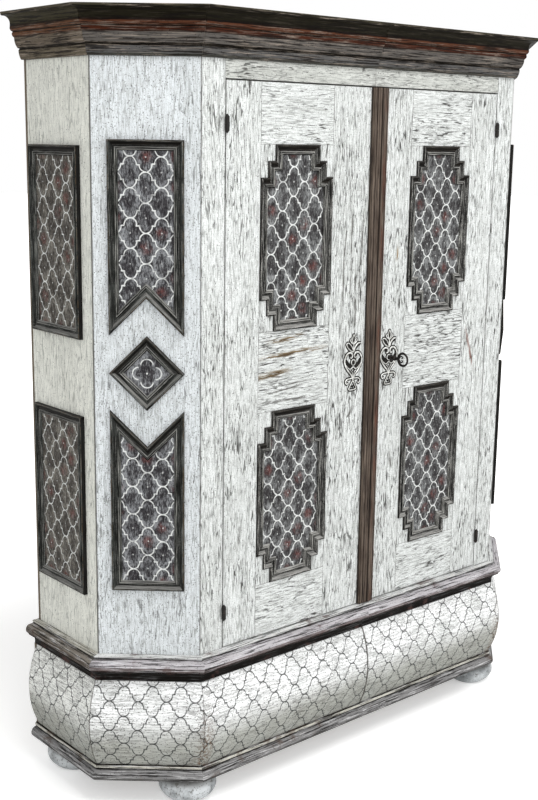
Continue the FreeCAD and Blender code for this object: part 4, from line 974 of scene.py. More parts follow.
def field_paint(name, axis, centre, node_zs, period=0.0708, rise=0.0704, half_line=0.0015,
                red=0.46, ground=DARK_GROUND, haze_share=0.12, diamond=None, inside=None):
    """Dark mottled ground, brushed grey towards the lines, with a white trellis.

    `axis` is the direction across the panel and `centre` a place on a line of nodes.
    `node_zs` are the heights of one node in the lower and one in the upper panel. `red` is
    the share of cells with a red daub. What lies further back than `inside` is only primed.
    """
    f = Finish(name)
    place = f.place()
    _, y, z = f.split(place)
    across = f.node("ShaderNodeVectorMath", {"operation": "DOT_PRODUCT"},
                    {0: f.shifted(place, tuple(-c for c in centre)), 1: tuple(axis)}, "Value")
    lower, upper = node_zs
    up = z - lower - (z > CANT_DIAMOND_Z) * (upper - lower)
    sway = f.noise(place, 30.0, 3.0) - 0.5
    lift = f.noise(f.shifted(place, (2.0, 3.0, 4.0)), 30.0, 3.0) - 0.5
    pressure = f.noise(place, 46.0, 3.0, 0.6)
    line, haze, from_centre, cell = trellis(f, across + sway * 0.007, up + lift * 0.007,
                                            period, rise, half_line * (0.40 + pressure))
    brushed = f.noise(f.stretch(place, (1, 1, 0.5)), 60.0, 6.0, 0.75)
    fine = f.noise(f.stretch(place, (1, 1, 0.25)), 360.0, 4.0, 0.75)
    dark, pale = (chip(*colour) for colour in ground)
    cloudy = f.noise(place, 21.0, 4.0, 0.7)
    smudge = brushed + cloudy * 0.5 - 0.25 + haze * cloudy.fade(0.38, 0.62) * haze_share
    lucky = f.chance(cell)
    daub = from_centre.fade(0.021, 0.004) * f.noise(place, 60.0, 4.0, 0.7).fade(0.36, 0.60)
    tone = f.coats(f.mix(dark, pale, smudge.fade(0.42, 0.74) * 0.9),
                   ((112, 58, 52), daub * (lucky < red) * 0.62),
                   ((22, 20, 21), fine.fade(0.50, 0.58) * 0.85),
                   ((176, 178, 178), fine.fade(0.44, 0.34) * 0.5))
    wear = f.noise(place, 95.0, 5.0, 0.7).fade(0.33, 0.50)
    strength = f.noise(place, 17.0, 2.0).fade(0.2, 0.55) * 0.45 + 0.50
    dot = from_centre.fade(0.0024, 0.0012) * (f.chance(f.shifted(cell, (7.0, 3.0, 1.0))) < 0.5)
    drawn = line.largest(dot * 0.7)
    if diamond:
        drawn = diamond(across, z, drawn)
    tone = f.coats(tone, ((222, 224, 222), drawn * (0.35 + 0.65 * wear) * strength),
                   ((30, 28, 28), specks(f, place, 240.0, 0.3) * 0.8))
    height = drawn * 0.5 + fine * 0.4
    if inside is not None:
        primed = f.coats(chip(206, 205, 198), ((168, 165, 155), brushed.fade(0.42, 0.62)),
                         ((112, 108, 99), fine.fade(0.52, 0.62) * 0.5))
        tone = f.mix(tone, primed, y > inside)
    return f.finish(tone, 0.5 + 0.25 * fine, f.bump(height, 0.0005))


print("a field has a ground, daubs, fine streaks and a trellis")

# %% Which field has which trellis
# For each door: x of a line of nodes, and z of one node in the lower and upper panel.
DOOR_NODES = {"left": (-0.2692, (0.9511, 1.6059)), "right": (0.2644, (0.9493, 1.6082))}
SIDE_NODE_Y = 0.1853
for side, (node_x, node_zs) in DOOR_NODES.items():
    panel_front, panel_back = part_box(f"{side}_door_panels")
    paint(field_paint(f"door_field_{side}", (1, 0, 0), (node_x, 0, 0), node_zs,
                      inside=(panel_front.y + panel_back.y) / 2), f"{side}_door_panels")
for side, sign in (("left", 1), ("right", -1)):
    middle = (sign * CANT_MIDDLE.x, CANT_MIDDLE.y, 0)
    paint(field_paint(f"cant_field_{side}", (CANT_ALONG.x, sign * CANT_ALONG.y, 0), middle,
                      (0.8775, 1.5935), period=0.073, rise=0.0700, red=0.42,
                      haze_share=0.22, ground=((52, 50, 53), (138, 140, 143)),
                      diamond=one_quatrefoil), f"canted_panels_{side}")
    paint(field_paint(f"side_field_{side}", (0, 1, 0), (0, SIDE_NODE_Y, 0), (0.9554, 1.5982),
                      rise=0.0697, red=0.42, half_line=0.0013,
                      ground=((66, 61, 55), (134, 130, 121))), f"side_panels_{side}")

# %% [markdown]
# ## The bulged base
#
# Each base board is bowed like a cushion between its upper and lower edge. It carries the
# same trellis in thin dark lines on white. A pattern on X and Z would be squeezed where
# the board leans, so this one follows the bow. It reads the map in metres that the sweep
# made: first along the board, then round the bow.

# %% Section of the base boards
base_z, base_height = height_of("bulged_base_left")
belly, board = 0.028, 0.022         # rise of the bow and thickness of the board
base_outline = section([
    (base_reach, 0.0, belly),
    (base_reach, base_height),
    (base_reach - board, base_height, -belly),
    (base_reach - board, 0.0),
], steps=24)
print("base boards are", round(base_height, 3), "m high")


# %% White base paint
TRELLIS_ALONG, TRELLIS_ROUND = 0.0145, -0.0760      # moves a node to where it belongs
BASE_PERIOD, BASE_RISE = 0.0715, 0.0750


def base_paint(name):
    """White paint, bluish above and greyed below as painted shade, under a dark trellis."""
    f = Finish(name)
    place, mapped = f.place(), f.surface()
    along, round_bow, _ = f.split(mapped)
    x, y, z = f.split(place)
    level = f.stretch(mapped, (0.09, 1.0, 1.0))
    hair = abs(f.noise(level, 130.0, 4.0, 0.62, 0.4) - 0.5).fade(0.040, 0.010)
    cracks = abs(f.noise(f.shifted(level, (4, 1, 2)), 70.0, 6.0, 0.7, 0.5) - 0.47)
    cracks = cracks.fade(0.014, 0.003) * f.noise(place, 8.0, 3.0).fade(0.42, 0.6)
    chips = f.noise(level, 90.0, 8.0, 0.74, 0.2).fade(0.60, 0.67)
    cloud = f.noise(place, 11.0, 5.0, 0.65)
    # Painted shade: each board is grey on its lower part and white above, on front and sides.
    upper = (z + (cloud - 0.5) * 0.05).fade(base_z + 0.05, base_z + 0.15)
    white = f.mix(chip(176, 177, 170), chip(254, 255, 255), upper)
    tone = f.mix(white, f.mix(chip(164, 165, 157), chip(246, 247, 243), upper),
                 on_a_side(x, y))
    threads = f.noise(f.stretch(mapped, (0.35, 1.0, 1.0)), 480.0, 3.0, 0.7)
    sway = f.noise(mapped, 22.0, 1.0) - 0.5
    pressure = f.noise(mapped, 46.0, 3.0, 0.6)
    line, _, _, _ = trellis(f, along + TRELLIS_ALONG + sway * 0.004,
                            round_bow + TRELLIS_ROUND + sway * 0.003,
                            BASE_PERIOD, BASE_RISE, 0.0014 * (0.45 + pressure))
    wear = f.noise(mapped, 75.0, 5.0, 0.7).fade(0.34, 0.48)
    flecks = f.noise(place, 150.0, 5.0, 0.7)
    corner = abs(abs(x) + CORNER_X - 0.006).fade(0.030, 0.004)
    brown = corner * z.fade(base_z + 0.22, base_z + 0.05) * flecks.fade(0.46, 0.58)
    middle = abs(x).fade(0.0036, 0.0016) * flecks.fade(0.30, 0.46)
    edge = f.edges(0.0045).fade(0.01, 0.20) * flecks.fade(0.34, 0.46)
    tone = f.coats(tone, ((184, 188, 184), cloud.fade(0.46, 0.72) * 0.4),
                   ((150, 152, 148), threads.fade(0.50, 0.68) * 0.55),
                   ((92, 92, 88), hair * 0.50), ((60, 56, 50), cracks * 0.8),
                   ((104, 99, 90), chips * 0.7), ((48, 50, 50), line * (0.15 + 0.78 * wear)),
                   ((52, 48, 45), specks(f, place, 190.0, 0.7) * 0.85),
                   ((104, 78, 56), brown * 0.8), ((62, 56, 50), middle * 0.85),
                   ((58, 51, 45), edge))
    height = 1 - hair * 0.4 - chips * 0.5 - line * 0.2
    return f.finish(tone, 0.42 + 0.25 * cloud, f.bump(height, 0.0007))


moulding_pair("bulged_base", base_outline, base_z, base_paint("base_paint"), BACK_FRONT_Y,
              groove=0.0013)

# %% [markdown]
# ## Raised frames
#
# The painted fields sit in raised frames with an outer ridge, a hollow and a double bead.
# The outlines differ, with rectangles, arrows, a diamond and stepped panels, but the
# section is one. Single mouldings could be modelled and mitred by hand for each outline,
# but the stepped ones have twenty corners. For any outline, moving a corner inwards by d
# moves it along the sum of its two edges' inward normals, d * (n1 + n2) / (1 + n1 . n2).
# So the sweep needs only the outline's corners.

# %% Frame section and sweep
FRAME_WIDTH, FRAME_HEIGHT = 0.025, 0.011
# The paint finds upper members by this tag and gives them painted shadow.
UPPER_TAG = 0.2                     # metres added to the map on a frame's upper members
MEMBER_SHIFT, FRAME_MIRROR_SHIFT = 0.31, 0.53   # so no two members have the same streaks
frame_shares = [
    (0.0, 0.0), (0.0, 0.84), (0.05, 1.0, -0.03), (0.22, 1.0), (0.27, 0.84, 0.10),
    (0.60, 0.36), (0.64, 0.34), (0.67, 0.60, -0.05), (0.80, 0.60), (0.82, 0.36),
    (0.84, 0.54, -0.04), (0.94, 0.50), (1.0, 0.26), (1.0, 0.0),
]
frame_outline = section([(-c[0] * FRAME_WIDTH, c[1] * FRAME_HEIGHT)
                         + tuple(-rise * FRAME_WIDTH for rise in c[2:])
                         for c in frame_shares], soften=0.0005, steps=6)


def frame_sweep(shell, corners, origin, right, out):
    """Sweep the frame section round `corners`, given anticlockwise as seen from outside."""
    corners = np.asarray(corners, float)
    edge = np.roll(corners, -1, 0) - corners
    edge /= np.hypot(*edge.T)[:, None]
    inward = np.stack([-edge[:, 1], edge[:, 0]], -1)
    before = np.roll(inward, 1, 0)
    mitre = (before + inward) / (1 + (before * inward).sum(1))[:, None]
    depth, height = -frame_outline[:, 0], frame_outline[:, 1]
    flat = corners[:, None] + mitre[:, None] * depth[None, :, None]
    basis = np.array([right, (0, 0, 1)], float)
    across = run_of(frame_outline)
    for i in range(len(corners)):
        ends = flat[[i, (i + 1) % len(corners)]]
        along = (ends - corners[i]) @ edge[i] + MEMBER_SHIFT * i
        tagged = across + UPPER_TAG * (inward[i, 1] < -0.5)
        grid = ends @ basis + height[None, :, None] * np.asarray(out) + np.asarray(origin)
        maps = np.stack([along, np.broadcast_to(tagged, along.shape)], -1)
        shell.sweep(grid[::-1], maps[::-1])


print("frame section:", len(frame_outline), "points")


# %% Outlines of the frames
def rectangle(width, height):
    """Corners round the origin, anticlockwise from the lower right."""
    w, h = width / 2, height / 2
    return [(w, -h), (w, h), (-w, h), (-w, -h)]


def stepped(width, height, step, rise):
    """Rectangle whose corners step in twice: x and z swap sides in each quarter."""
    w, h = width / 2, height / 2
    quarter = np.array([(w, h - 2 * rise), (w - step, h - 2 * rise), (w - step, h - rise),
                        (w - 2 * step, h - rise), (w - 2 * step, h)])
    return np.concatenate([quarter, quarter[::-1] * (-1, 1), quarter * (-1, -1),
                           quarter[::-1] * (1, -1)])


def arrow(width, height):
    """Upright panel with a notch in its lower end, its edges at 45 degrees."""
    w, h = width / 2, height / 2
    return [(w, -h), (w, h), (-w, h), (-w, -h), (0, -h + w)]


print("corners of a stepped outline:", len(stepped(0.2, 0.4, 0.02, 0.04)))

# %% Where the section's members lie
FRAME_SECTION_RUN = float(run_of(frame_outline)[-1])
run_share = run_of(frame_outline) / FRAME_SECTION_RUN


def share_at(depth_share):
    """Share of the section's run where its depth first reaches a share of the width."""
    reached = np.argmax(-frame_outline[:, 0] >= depth_share * FRAME_WIDTH - 1e-6)
    return float(run_share[reached])


RIDGE = (share_at(0.03), share_at(0.24))
HOLLOW = (share_at(0.28), share_at(0.62))
BEADS = (share_at(0.735), share_at(0.89))
print("ridge", RIDGE, "hollow", HOLLOW, "beads", BEADS)


# %% Worn charcoal paint
def charcoal_paint(name, tan_share, shade, light, scuffed):
    """Paint between two greys: a worn outer ridge, painted shade in the hollow and quirks,
    and painted highlights on the beads.

    `tan_share` is how much tan wood shows on the ridge, and `scuffed` how many light
    streaks there are. Faces that look up get light dust that is also a painted highlight,
    and faces that look down get painted shade. A painted shadow runs along the outer edge,
    and the outer half of upper members, which the map's tag tells apart, is painted black
    as shadow.
    """
    f = Finish(name)
    place = f.place()
    _, tagged, _ = f.split(f.surface())
    upper = tagged > UPPER_TAG / 2
    run = (tagged - upper * UPPER_TAG) / FRAME_SECTION_RUN
    streak_place = f.stretch(f.surface(), (0.035, 1.0, 1.0))
    streaks = f.noise(streak_place, 470.0, 4.0, 0.7, 0.2)
    patches = f.noise(place, 16.0, 4.0, 0.6)
    rubbed = f.noise(place, 55.0, 5.0, 0.7)
    _, _, skyward = f.split(f.node("ShaderNodeNewGeometry", out="Normal"))
    # Faces that look down get painted shade; scuffs and bead highlights leave them out.
    downward = skyward.fade(-0.15, -0.5)
    level = 1 - downward
    flecks = f.noise(place, 300.0, 3.0, 0.7)
    scuffs = streaks.fade(0.53, 0.57) * flecks.fade(0.38, 0.52) * level * scuffed
    # Painted shade in the hollow of the section.
    painted_hollow_shade = run.fade(RIDGE[1] - 0.01, HOLLOW[0] + 0.02)
    painted_hollow_shade = painted_hollow_shade * run.fade(HOLLOW[1] + 0.02, HOLLOW[1] - 0.10)
    # Painted shade in the quirks beside the beads.
    quirk = abs(run - (BEADS[0] + BEADS[1]) / 2).fade(0.022, 0.008).largest(
        abs(run - HOLLOW[1] - 0.012).fade(0.018, 0.006))
    beads = abs(run - BEADS[0]).fade(0.024, 0.010).largest(
        abs(run - BEADS[1]).fade(0.022, 0.009))
    # Painted highlights along the beads.
    bright = beads * streaks.fade(0.45, 0.57) * level * (0.45 + 0.35 * scuffed)
    # Light dust on faces that look up, and a painted highlight there as well.
    dust = skyward.fade(0.15, 0.55) * streaks.fade(0.34, 0.52) * (0.35 + 0.35 * scuffed)
    tone = f.coats(f.mix(chip(*shade), chip(*light), patches.fade(0.35, 0.65)),
                   ((178, 177, 173), scuffs),
                   ((12, 11, 10), streaks.fade(0.48, 0.43) * 0.9),
                   ((22, 21, 20), painted_hollow_shade * 0.45), ((12, 11, 10), quirk * 0.9),
                   ((184, 183, 177), bright), ((168, 167, 163), dust),
                   ((10, 9, 8), downward * 0.85))
    ridge_line = abs(run - RIDGE[0] - 0.02).fade(0.030, 0.010)
    tan = f.mix(chip(150, 138, 114), chip(92, 74, 54), rubbed.fade(0.4, 0.6))
    tone = f.mix(tone, tan, ridge_line * rubbed.fade(0.46, 0.56) * tan_share)
    # Painted shadow along the outer edge of every member.
    outer = run.fade(RIDGE[0] + 0.02, RIDGE[0] - 0.02)
    tone = f.coats(tone, ((18, 16, 15), outer * 0.9))
    # Painted shadow over the outer half of upper members.
    painted_upper_shadow = upper * run.fade(HOLLOW[1] + 0.01, HOLLOW[1] - 0.03) * (1 - tan_share)
    tone = f.mix(tone, f.mix(chip(14, 12, 9), chip(44, 37, 30), streaks.fade(0.5, 0.6)),
                 painted_upper_shadow * 0.95)
    relief = f.bump(streaks + beads * 0.3, 0.0006)
    return f.finish(tone, 0.46 + 0.25 * streaks, relief, gloss=0.06)


charcoal = charcoal_paint("charcoal_paint", 0.55, (30, 32, 29), (68, 71, 68), 0.35)
door_charcoal = charcoal_paint("charcoal_paint_doors", 0.10, (36, 36, 34), (84, 84, 81), 1.0)
print("charcoal paints:", charcoal.name, door_charcoal.name)

# %% Side frames
SIDE_PANEL = (0.221, 0.457)         # width and height over the frame
SIDE_PANEL_INSET = 0.045            # from the side board's front edge
SIDE_PANEL_BOTTOMS = (0.548, 1.195)
side_panel_y = CANT_BACK_Y + SIDE_PANEL_INSET + SIDE_PANEL[0] / 2
side_frames = Shell()
for bottom in SIDE_PANEL_BOTTOMS:
    origin = (SIDE_X, side_panel_y, bottom + SIDE_PANEL[1] / 2)
    frame_sweep(side_frames, rectangle(*SIDE_PANEL), origin, (0, -1, 0), (-1, 0, 0))
print("side frames:", side_frames.count, "points")

# %% Canted frames
ARROW = (0.178, 0.454)
ARROW_ENDS = (0.091, 0.545)         # an arrow panel's two ends, from the diamond's middle
ARROW_OFFSET = sum(ARROW_ENDS) / 2
DIAMOND_HALF = 0.090
cant_frames = Shell()
downwards = [(x, -z) for x, z in reversed(arrow(*ARROW))]
diamond_corners = [(DIAMOND_HALF, 0), (0, DIAMOND_HALF), (-DIAMOND_HALF, 0),
                   (0, -DIAMOND_HALF)]
for corners, lift in ((arrow(*ARROW), ARROW_OFFSET), (diamond_corners, 0),
                      (downwards, -ARROW_OFFSET)):
    origin = CANT_MIDDLE + Vector((0, 0, CANT_DIAMOND_Z + lift))
    frame_sweep(cant_frames, corners, origin, CANT_ALONG, CANT_OUT)

for label, shell in (("side_panel_frames", side_frames), ("canted_panel_frames", cant_frames)):
    for side, half in (("left", shell), ("right", shell.mirrored(FRAME_MIRROR_SHIFT))):
        node = f"{label}_{side}"
        stand_for(half.build(node + "_carved", charcoal), "root", SLOT_OF[node], node)

# %% Stepped door frames
DOOR_PANEL = (0.238, 0.455)
DOOR_STEP = (0.023, 0.0395)         # width and height of each of a corner's two steps
DOOR_PANEL_X = -0.263
DOOR_PANEL_MIDDLES = (0.7735, 1.4325)
door_frames = Shell()
for z in DOOR_PANEL_MIDDLES:
    frame_sweep(door_frames, stepped(*DOOR_PANEL, *DOOR_STEP), (DOOR_PANEL_X, DOOR_Y, z),
                (1, 0, 0), (0, -1, 0))
for side, shell in (("left", door_frames), ("right", door_frames.mirrored(FRAME_MIRROR_SHIFT))):
    node = f"{side}_door_panel_mouldings"
    stand_for(shell.build(node + "_carved", door_charcoal), f"{side}_door", SLOT_OF[node],
              node)

# %% [markdown]
# ## Feet
#
# The feet are turned buns. A turner's profile spun about its axis is one grid: each row is
# the ring at one height. A Screw modifier on a drawn profile would give the same shape,
# but no map in metres. The swell isn't a circle's arc, so it comes from a sine.

# %% Turned shapes
def turned(shell, radius, height, origin, axes, segments):
    """Spin a profile: origin + r cos(a) first + r sin(a) second + h third axis."""
    first, second, third = np.asarray(axes, float)
    angle = np.arange(segments)[None, :, None] * 2 * np.pi / segments
    ring = np.cos(angle) * first + np.sin(angle) * second
    grid = (np.asarray(origin, float) + radius[:, None, None] * ring
            + height[:, None, None] * third)
    across = np.broadcast_to(height[:, None], grid.shape[:2])
    along = np.broadcast_to(angle[..., 0] * float(radius.max()), grid.shape[:2])
    shell.sweep(grid, np.stack([along, across], -1))


UPRIGHT_AXES = ((1, 0, 0), (0, 1, 0), (0, 0, 1))
print("a turned shape takes one radius for each height")

# %% Profile of a bun foot
FOOT_PLACES = [(0.559, -0.140), (0.695, 0.185)]
FOOT_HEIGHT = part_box("plinth_moulding_left")[low].z
FOOT_RADIUS, SOLE_RADIUS, NECK_RADIUS = 0.075, 0.044, 0.056


def bun_profile():
    """Radius by height t from 0 to 1: sole to neck in a straight line, plus the swell.

    The swell is (foot - (sole + neck) / 2) * sin(pi t) ^ 0.75.
    """
    t = np.linspace(0, 1, 28)
    base = SOLE_RADIUS + (NECK_RADIUS - SOLE_RADIUS) * t
    swell = (FOOT_RADIUS - (SOLE_RADIUS + NECK_RADIUS) / 2) * np.sin(np.pi * t) ** 0.75
    return base + swell, FOOT_HEIGHT * t


foot_radius, foot_height = bun_profile()
print("a foot is", round(float(foot_radius.max()) * 2, 3), "m across")


# %% Painted feet
def foot_paint():
    """Grey white, dull and chipped, with painted shade at the top under the plinth."""
    f = Finish("foot_paint")
    place = f.place()
    cloud = f.noise(place, 12.0, 5.0, 0.65)
    fine = f.noise(place, 90.0, 5.0, 0.7)
    _, _, z = f.split(place)
    tone = f.coats(chip(208, 212, 214), ((136, 140, 142), cloud.fade(0.38, 0.64)),
                   ((92, 90, 86), fine.fade(0.54, 0.66) * 0.75),
                   ((60, 57, 52), specks(f, place, 190.0, 0.4) * 0.8),
                   # painted shade at the top of the foot, under the plinth
                   ((96, 92, 86), z.fade(0.046, 0.066) * 0.7))
    return f.finish(tone, 0.5 + 0.2 * fine, f.bump(fine, 0.0008))


feet = Shell()
for x, y in FOOT_PLACES:
    for sign in (-1, 1):
        turned(feet, foot_radius, foot_height, (sign * x, y, 0), UPRIGHT_AXES, 48)
stand_for(feet.build("turned_bun_feet", foot_paint()), "root", SLOT_OF["bun_feet"], "bun_feet")

# %% [markdown]
# ## Iron and silver
#
# Hinges, bolts and key are black iron. The two keyhole plates are cast and silvered, and
# have gone dull in their hollows. A plain metal would look new. Clouds of noise in colour
# and roughness stand for bloom and tarnish. They read the object's own place, because
# such patterns are small and run every way.

# %% Iron
def iron_finish():
    """Black iron with brown bloom and polished high spots."""
    f = Finish("black_iron")
    place = f.place()
    bloom = f.noise(place, 120.0, 4.0, 0.65)
    tone = f.coats(chip(24, 22, 21), ((58, 49, 42), bloom.fade(0.5, 0.7)))
    return f.finish(tone, 0.42 + 0.3 * bloom, f.bump(bloom, 0.0004), metallic=0.35, gloss=0.3)


iron = iron_finish()
paint(iron, "hinge_pins_left", "hinge_pins_right", "left_door_hinge_sockets",
      "right_door_hinge_sockets", "left_door_bolt_plates", "left_top_bolt",
      "left_bottom_bolt", "lock_case", "lock_keeper", "lock_bolt")


# %% Silver and its tarnish
def silver_finish():
    """Dull silver, grey in the hollows and brown-black in the pits."""
    f = Finish("old_silver")
    place = f.place()
    cloud = f.noise(place, 90.0, 4.0, 0.6)
    pits = f.noise(place, 420.0, 4.0, 0.7)
    tone = f.coats(chip(222, 223, 220), ((168, 168, 163), cloud.fade(0.35, 0.65)),
                   ((84, 80, 74), pits.fade(0.56, 0.66) * 0.7))
    return f.finish(tone, 0.36 + 0.3 * cloud, f.bump(pits, 0.0004), metallic=0.55, gloss=0.5)


def tarnish_and_shadow_finish():
    """Black in the ground of the keyhole plates: partly tarnish, partly painted shadow."""
    f = Finish("black_tarnish_and_shadow")
    place = f.place()
    cloud = f.noise(place, 160.0, 4.0, 0.65)
    tone = f.coats(chip(20, 19, 17), ((58, 55, 50), cloud.fade(0.50, 0.68)))
    return f.finish(tone, 0.6 + 0.2 * cloud, f.bump(cloud, 0.0004))


silver, hollow = silver_finish(), tarnish_and_shadow_finish()
print("metals:", iron.name, silver.name, hollow.name)

# %% [markdown]
# ## Keyhole plates
#
# The two plates are openwork scrolls, cast in one piece. A stroke that tapers along a
# curve makes each scroll, so a plate is drawn as with a pen: centre lines in millimetres
# from the keyhole, and a half width for each. A flat black ground lies behind the scrolls
# and shows as their dark outline and in their openings: partly tarnish, as on the real
# ones, and partly painted shadow.

# %% Curves and tapering strokes
def smooth_path(corners, points=48, closed=False):
    """A curve through the corners, each span a Catmull-Rom cubic.

    From b to c, with a before and d after, it is half of
    2b + (c - a) t + (2a - 5b + 4c - d) t^2 + (3b - a - 3c + d) t^3.
    """
    line = np.asarray(corners, float)
    if closed:
        padded = np.concatenate([line[-1:], line, line[:2]])
        place = np.linspace(0, len(line), points, endpoint=False)
    else:
        padded = np.concatenate([2 * line[:1] - line[1:2], line, 2 * line[-1:] - line[-2:-1]])
        place = np.linspace(0, len(line) - 1, points)
    span = np.minimum(place.astype(int), len(padded) - 4)
    t = (place - span)[:, None]
    a, b, c, d = (padded[span + k] for k in range(4))
    return (2 * b + (c - a) * t + (2 * a - 5 * b + 4 * c - d) * t ** 2
            + (3 * b - a - 3 * c + d) * t ** 3) / 2


print("first point of a path:", smooth_path([(0, 0), (1, 2), (3, 2)])[0])


# %% Strokes with a thickness
def stroke(shell, path, half_width, height, origin, basis, closed=False, round_back=False):
    """Sweep half an ellipse, or a whole one, along a flat path.

    Each point is path + normal * w cos(a) + out * h sin(a), with a from 0 to pi or 2 pi.
    """
    right, up, out = np.asarray(basis, float)
    if closed:
        travel = np.roll(path, -1, 0) - np.roll(path, 1, 0)
    else:
        travel = np.gradient(path, axis=0)
    travel /= np.hypot(*travel.T)[:, None]
    normal = np.stack([-travel[:, 1], travel[:, 0]], -1)
    turns = np.linspace(0, 2 * np.pi, 12, endpoint=False) if round_back else np.linspace(
        0, np.pi, 7)
    width = np.broadcast_to(half_width, len(path))[:, None]
    rise = np.broadcast_to(height, len(path))[:, None]
    flat = path[:, None] + normal[:, None] * (width * np.cos(turns))[..., None]
    grid = flat @ np.stack([right, up]) + (rise * np.sin(turns))[..., None] * out + origin
    along = np.concatenate([[0], np.cumsum(np.hypot(*np.diff(path, axis=0).T))])
    across = np.broadcast_to(turns * np.mean(half_width), grid.shape[:2])
    along = np.broadcast_to(along[:, None], grid.shape[:2])
    shell.sweep(grid, np.stack([along, across], -1), wrap_rows=closed)


def taper(points, full, start, end):
    """Half widths that swell as a sine from a share at the start to full and to an end."""
    t = np.linspace(0, 1, points)
    ends = start * (1 - t) + end * t
    return full * (ends + (1 - ends) * np.sin(np.pi * t) ** 0.7)


print("a taper of three:", taper(3, 1.0, 0.5, 0.5).round(2))

# %% Lines of a keyhole plate
MM = 0.001
STEM, NECK = [(0, 28), (0.5, 40), (0, 51)], [(0, -32), (0, -41), (0, -50)]
HEART = [(-12, 16), (-9, 12), (-4, 15), (-4, 22), (-11, 27), (-21, 25), (-29, 16), (-32, 4),
         (-27, -10), (-17, -23), (-7, -33), (-2, -43)]
LEAF = [(-1, 29), (-7, 43), (-18, 53), (-26, 51), (-21, 41), (-10, 32)]
HORN = [(2, 30), (6, 41), (16, 50), (27, 51)]
FLEUR = [(0, 74), (4.5, 66), (5, 58), (0, 51), (-5, 58), (-4.5, 66)]
LOBE = [(1, 50), (7, 53), (12, 59), (9, 65)]
BAT = [(-28, -4), (-17, -15), (-8, -17), (0, -12), (8, -17), (17, -15), (28, -4)]
VEE = [(-12, -20), (-5, -25), (0, -32), (5, -25), (12, -20)]
FOOT_CURL = [(-1, -42), (-9, -43), (-20, -44), (-27, -50), (-22, -57), (-16, -53)]
LOOP = [(0, -50), (7, -60), (12, -71), (0, -74), (-14, -72), (-8, -60)]
turn = np.linspace(0, 2 * np.pi, 25)[:-1]
KEYHOLE_RING = np.stack([np.cos(turn), np.sin(turn)], -1) * 7.4
# Dark solid parts of the ground, painted shadow in the plate's openings: a centre line and a half
# width for each.
PIERCED = [([(-5, 35), (-12, 42), (-20, 50)], 4.6), ([(-11, 16), (-13, 22)], 5.2),
           ([(9, 16), (11, 22)], 5.2), ([(0, 56), (0, 64)], 3.8), ([(0, -62), (-1, -68)], 4.2),
           ([(-27, 8), (-18, -4), (-8, -8), (0, -2), (8, -8), (18, -4), (27, 8)], 6.0),
           ([(-7, -24), (0, -30), (7, -24)], 4.6), ([(7, 33), (13, 42), (24, 46)], 3.0)]


def both(corners):
    """A line and its mirror image about the plate's middle."""
    return [corners, [(-x, z) for x, z in corners]]


# Each scroll: its lines, half width, and the shares of it at the start and end.
SCROLLS = [(both(HEART), 2.6, 0.35, 0.7), ([HORN], 2.4, 0.8, 0.25),
           (both(LOBE), 1.9, 0.9, 0.4), ([STEM], 2.0, 0.9, 0.9), ([BAT], 1.8, 0.5, 0.5),
           ([VEE], 1.6, 0.4, 0.4), ([NECK], 2.4, 0.7, 0.8), (both(FOOT_CURL), 2.1, 0.9, 0.4)]
CLOSED_LOOPS = [(LEAF, 1.7), (FLEUR, 1.7), (LOOP, 1.8), (KEYHOLE_RING, 1.7)]
print("scrolls:", sum(len(lines) for lines, *_ in SCROLLS), "closed:", len(CLOSED_LOOPS))


# %% The two keyhole plates
def keyhole_plate(name, x, body):
    """All scrolls of one plate over its black ground, in front of the door's face."""
    face = np.array([x, FACE_Y, KEY_Z])
    basis = ((1, 0, 0), (0, 0, 1), (0, -1, 0))
    scrolls, ground = Shell(), Shell()

    def draw(path, half, closed=False):
        """One scroll, and under it a ground that is 3 mm wider and much flatter."""
        stroke(scrolls, path, half * MM, 1.5 * MM + half * 0.5 * MM, face, basis, closed)
        stroke(ground, path, (half + 3.0) * MM, 1.2 * MM, face, basis, closed)

    for corners, width in PIERCED:
        path = smooth_path(corners, 24) * MM
        stroke(ground, path, taper(24, width, 0.7, 0.7) * MM, 1.9 * MM, face, basis)
    for lines, width, start, end in SCROLLS:
        for corners in lines:
            path = smooth_path(corners) * MM
            draw(path, taper(len(path), width, start, end))
    for corners, width in CLOSED_LOOPS:
        path = smooth_path(corners, closed=True) * MM
        draw(path, np.full(len(path), width), closed=True)
    stand_for(scrolls.build(f"{name}_scrolls", silver), body, SLOT_OF[name], name)
    stand_for(ground.build(f"{name}_ground", hollow), body, SLOT_OF[name])


KEY_X, _, KEY_Z = middle_of("right_escutcheon")
for side in SIDES[::-1]:
    keyhole_plate(f"{side}_escutcheon", middle_of(f"{side}_escutcheon")[0], f"{side}_door")

# %% [markdown]
# ## Key
#
# The key has a ring bow with two small curls inside, a moulded collar and a plain shank.
# A torus and a few cylinders would do from afar. Strokes with a round back make a finer
# bow, thicker where it meets the shank, and one turned profile makes the shank with its
# collars. All of it lies on the lock's axis, so it turns with the key's own body.

# %% Bow with two curls
key_low, key_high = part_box("key")
BOW_RADIUS, BOW_HALF_WIDTH, BOW_SWELL, BOW_HALF_DEPTH = 0.020, 0.0032, 0.0006, 0.0028
CURL = [(-17, 0), (-13, 2), (-9, 7), (-3, 8), (-1, 4), (-5, 2.5)]
bow_y = key_low.y + BOW_RADIUS
key_shell = Shell()
bow_place = np.array([KEY_X, bow_y, KEY_Z])
bow_basis = ((0, -1, 0), (0, 0, 1), (-1, 0, 0))
turn = np.linspace(0, 2 * np.pi, 49)[:-1]
bow_ring = np.stack([np.cos(turn), np.sin(turn)], -1) * (BOW_RADIUS - BOW_HALF_WIDTH)
stroke(key_shell, bow_ring, BOW_HALF_WIDTH - BOW_SWELL * np.cos(turn), BOW_HALF_DEPTH,
       bow_place, bow_basis, closed=True, round_back=True)
for half in (1, -1):
    curl = smooth_path(np.array(CURL) * (1, half), 30) * MM
    stroke(key_shell, curl, taper(30, 1.9, 0.9, 0.5) * MM, 1.7 * MM, bow_place, bow_basis,
           round_back=True)
print("bow at", [round(float(c), 3) for c in bow_place])

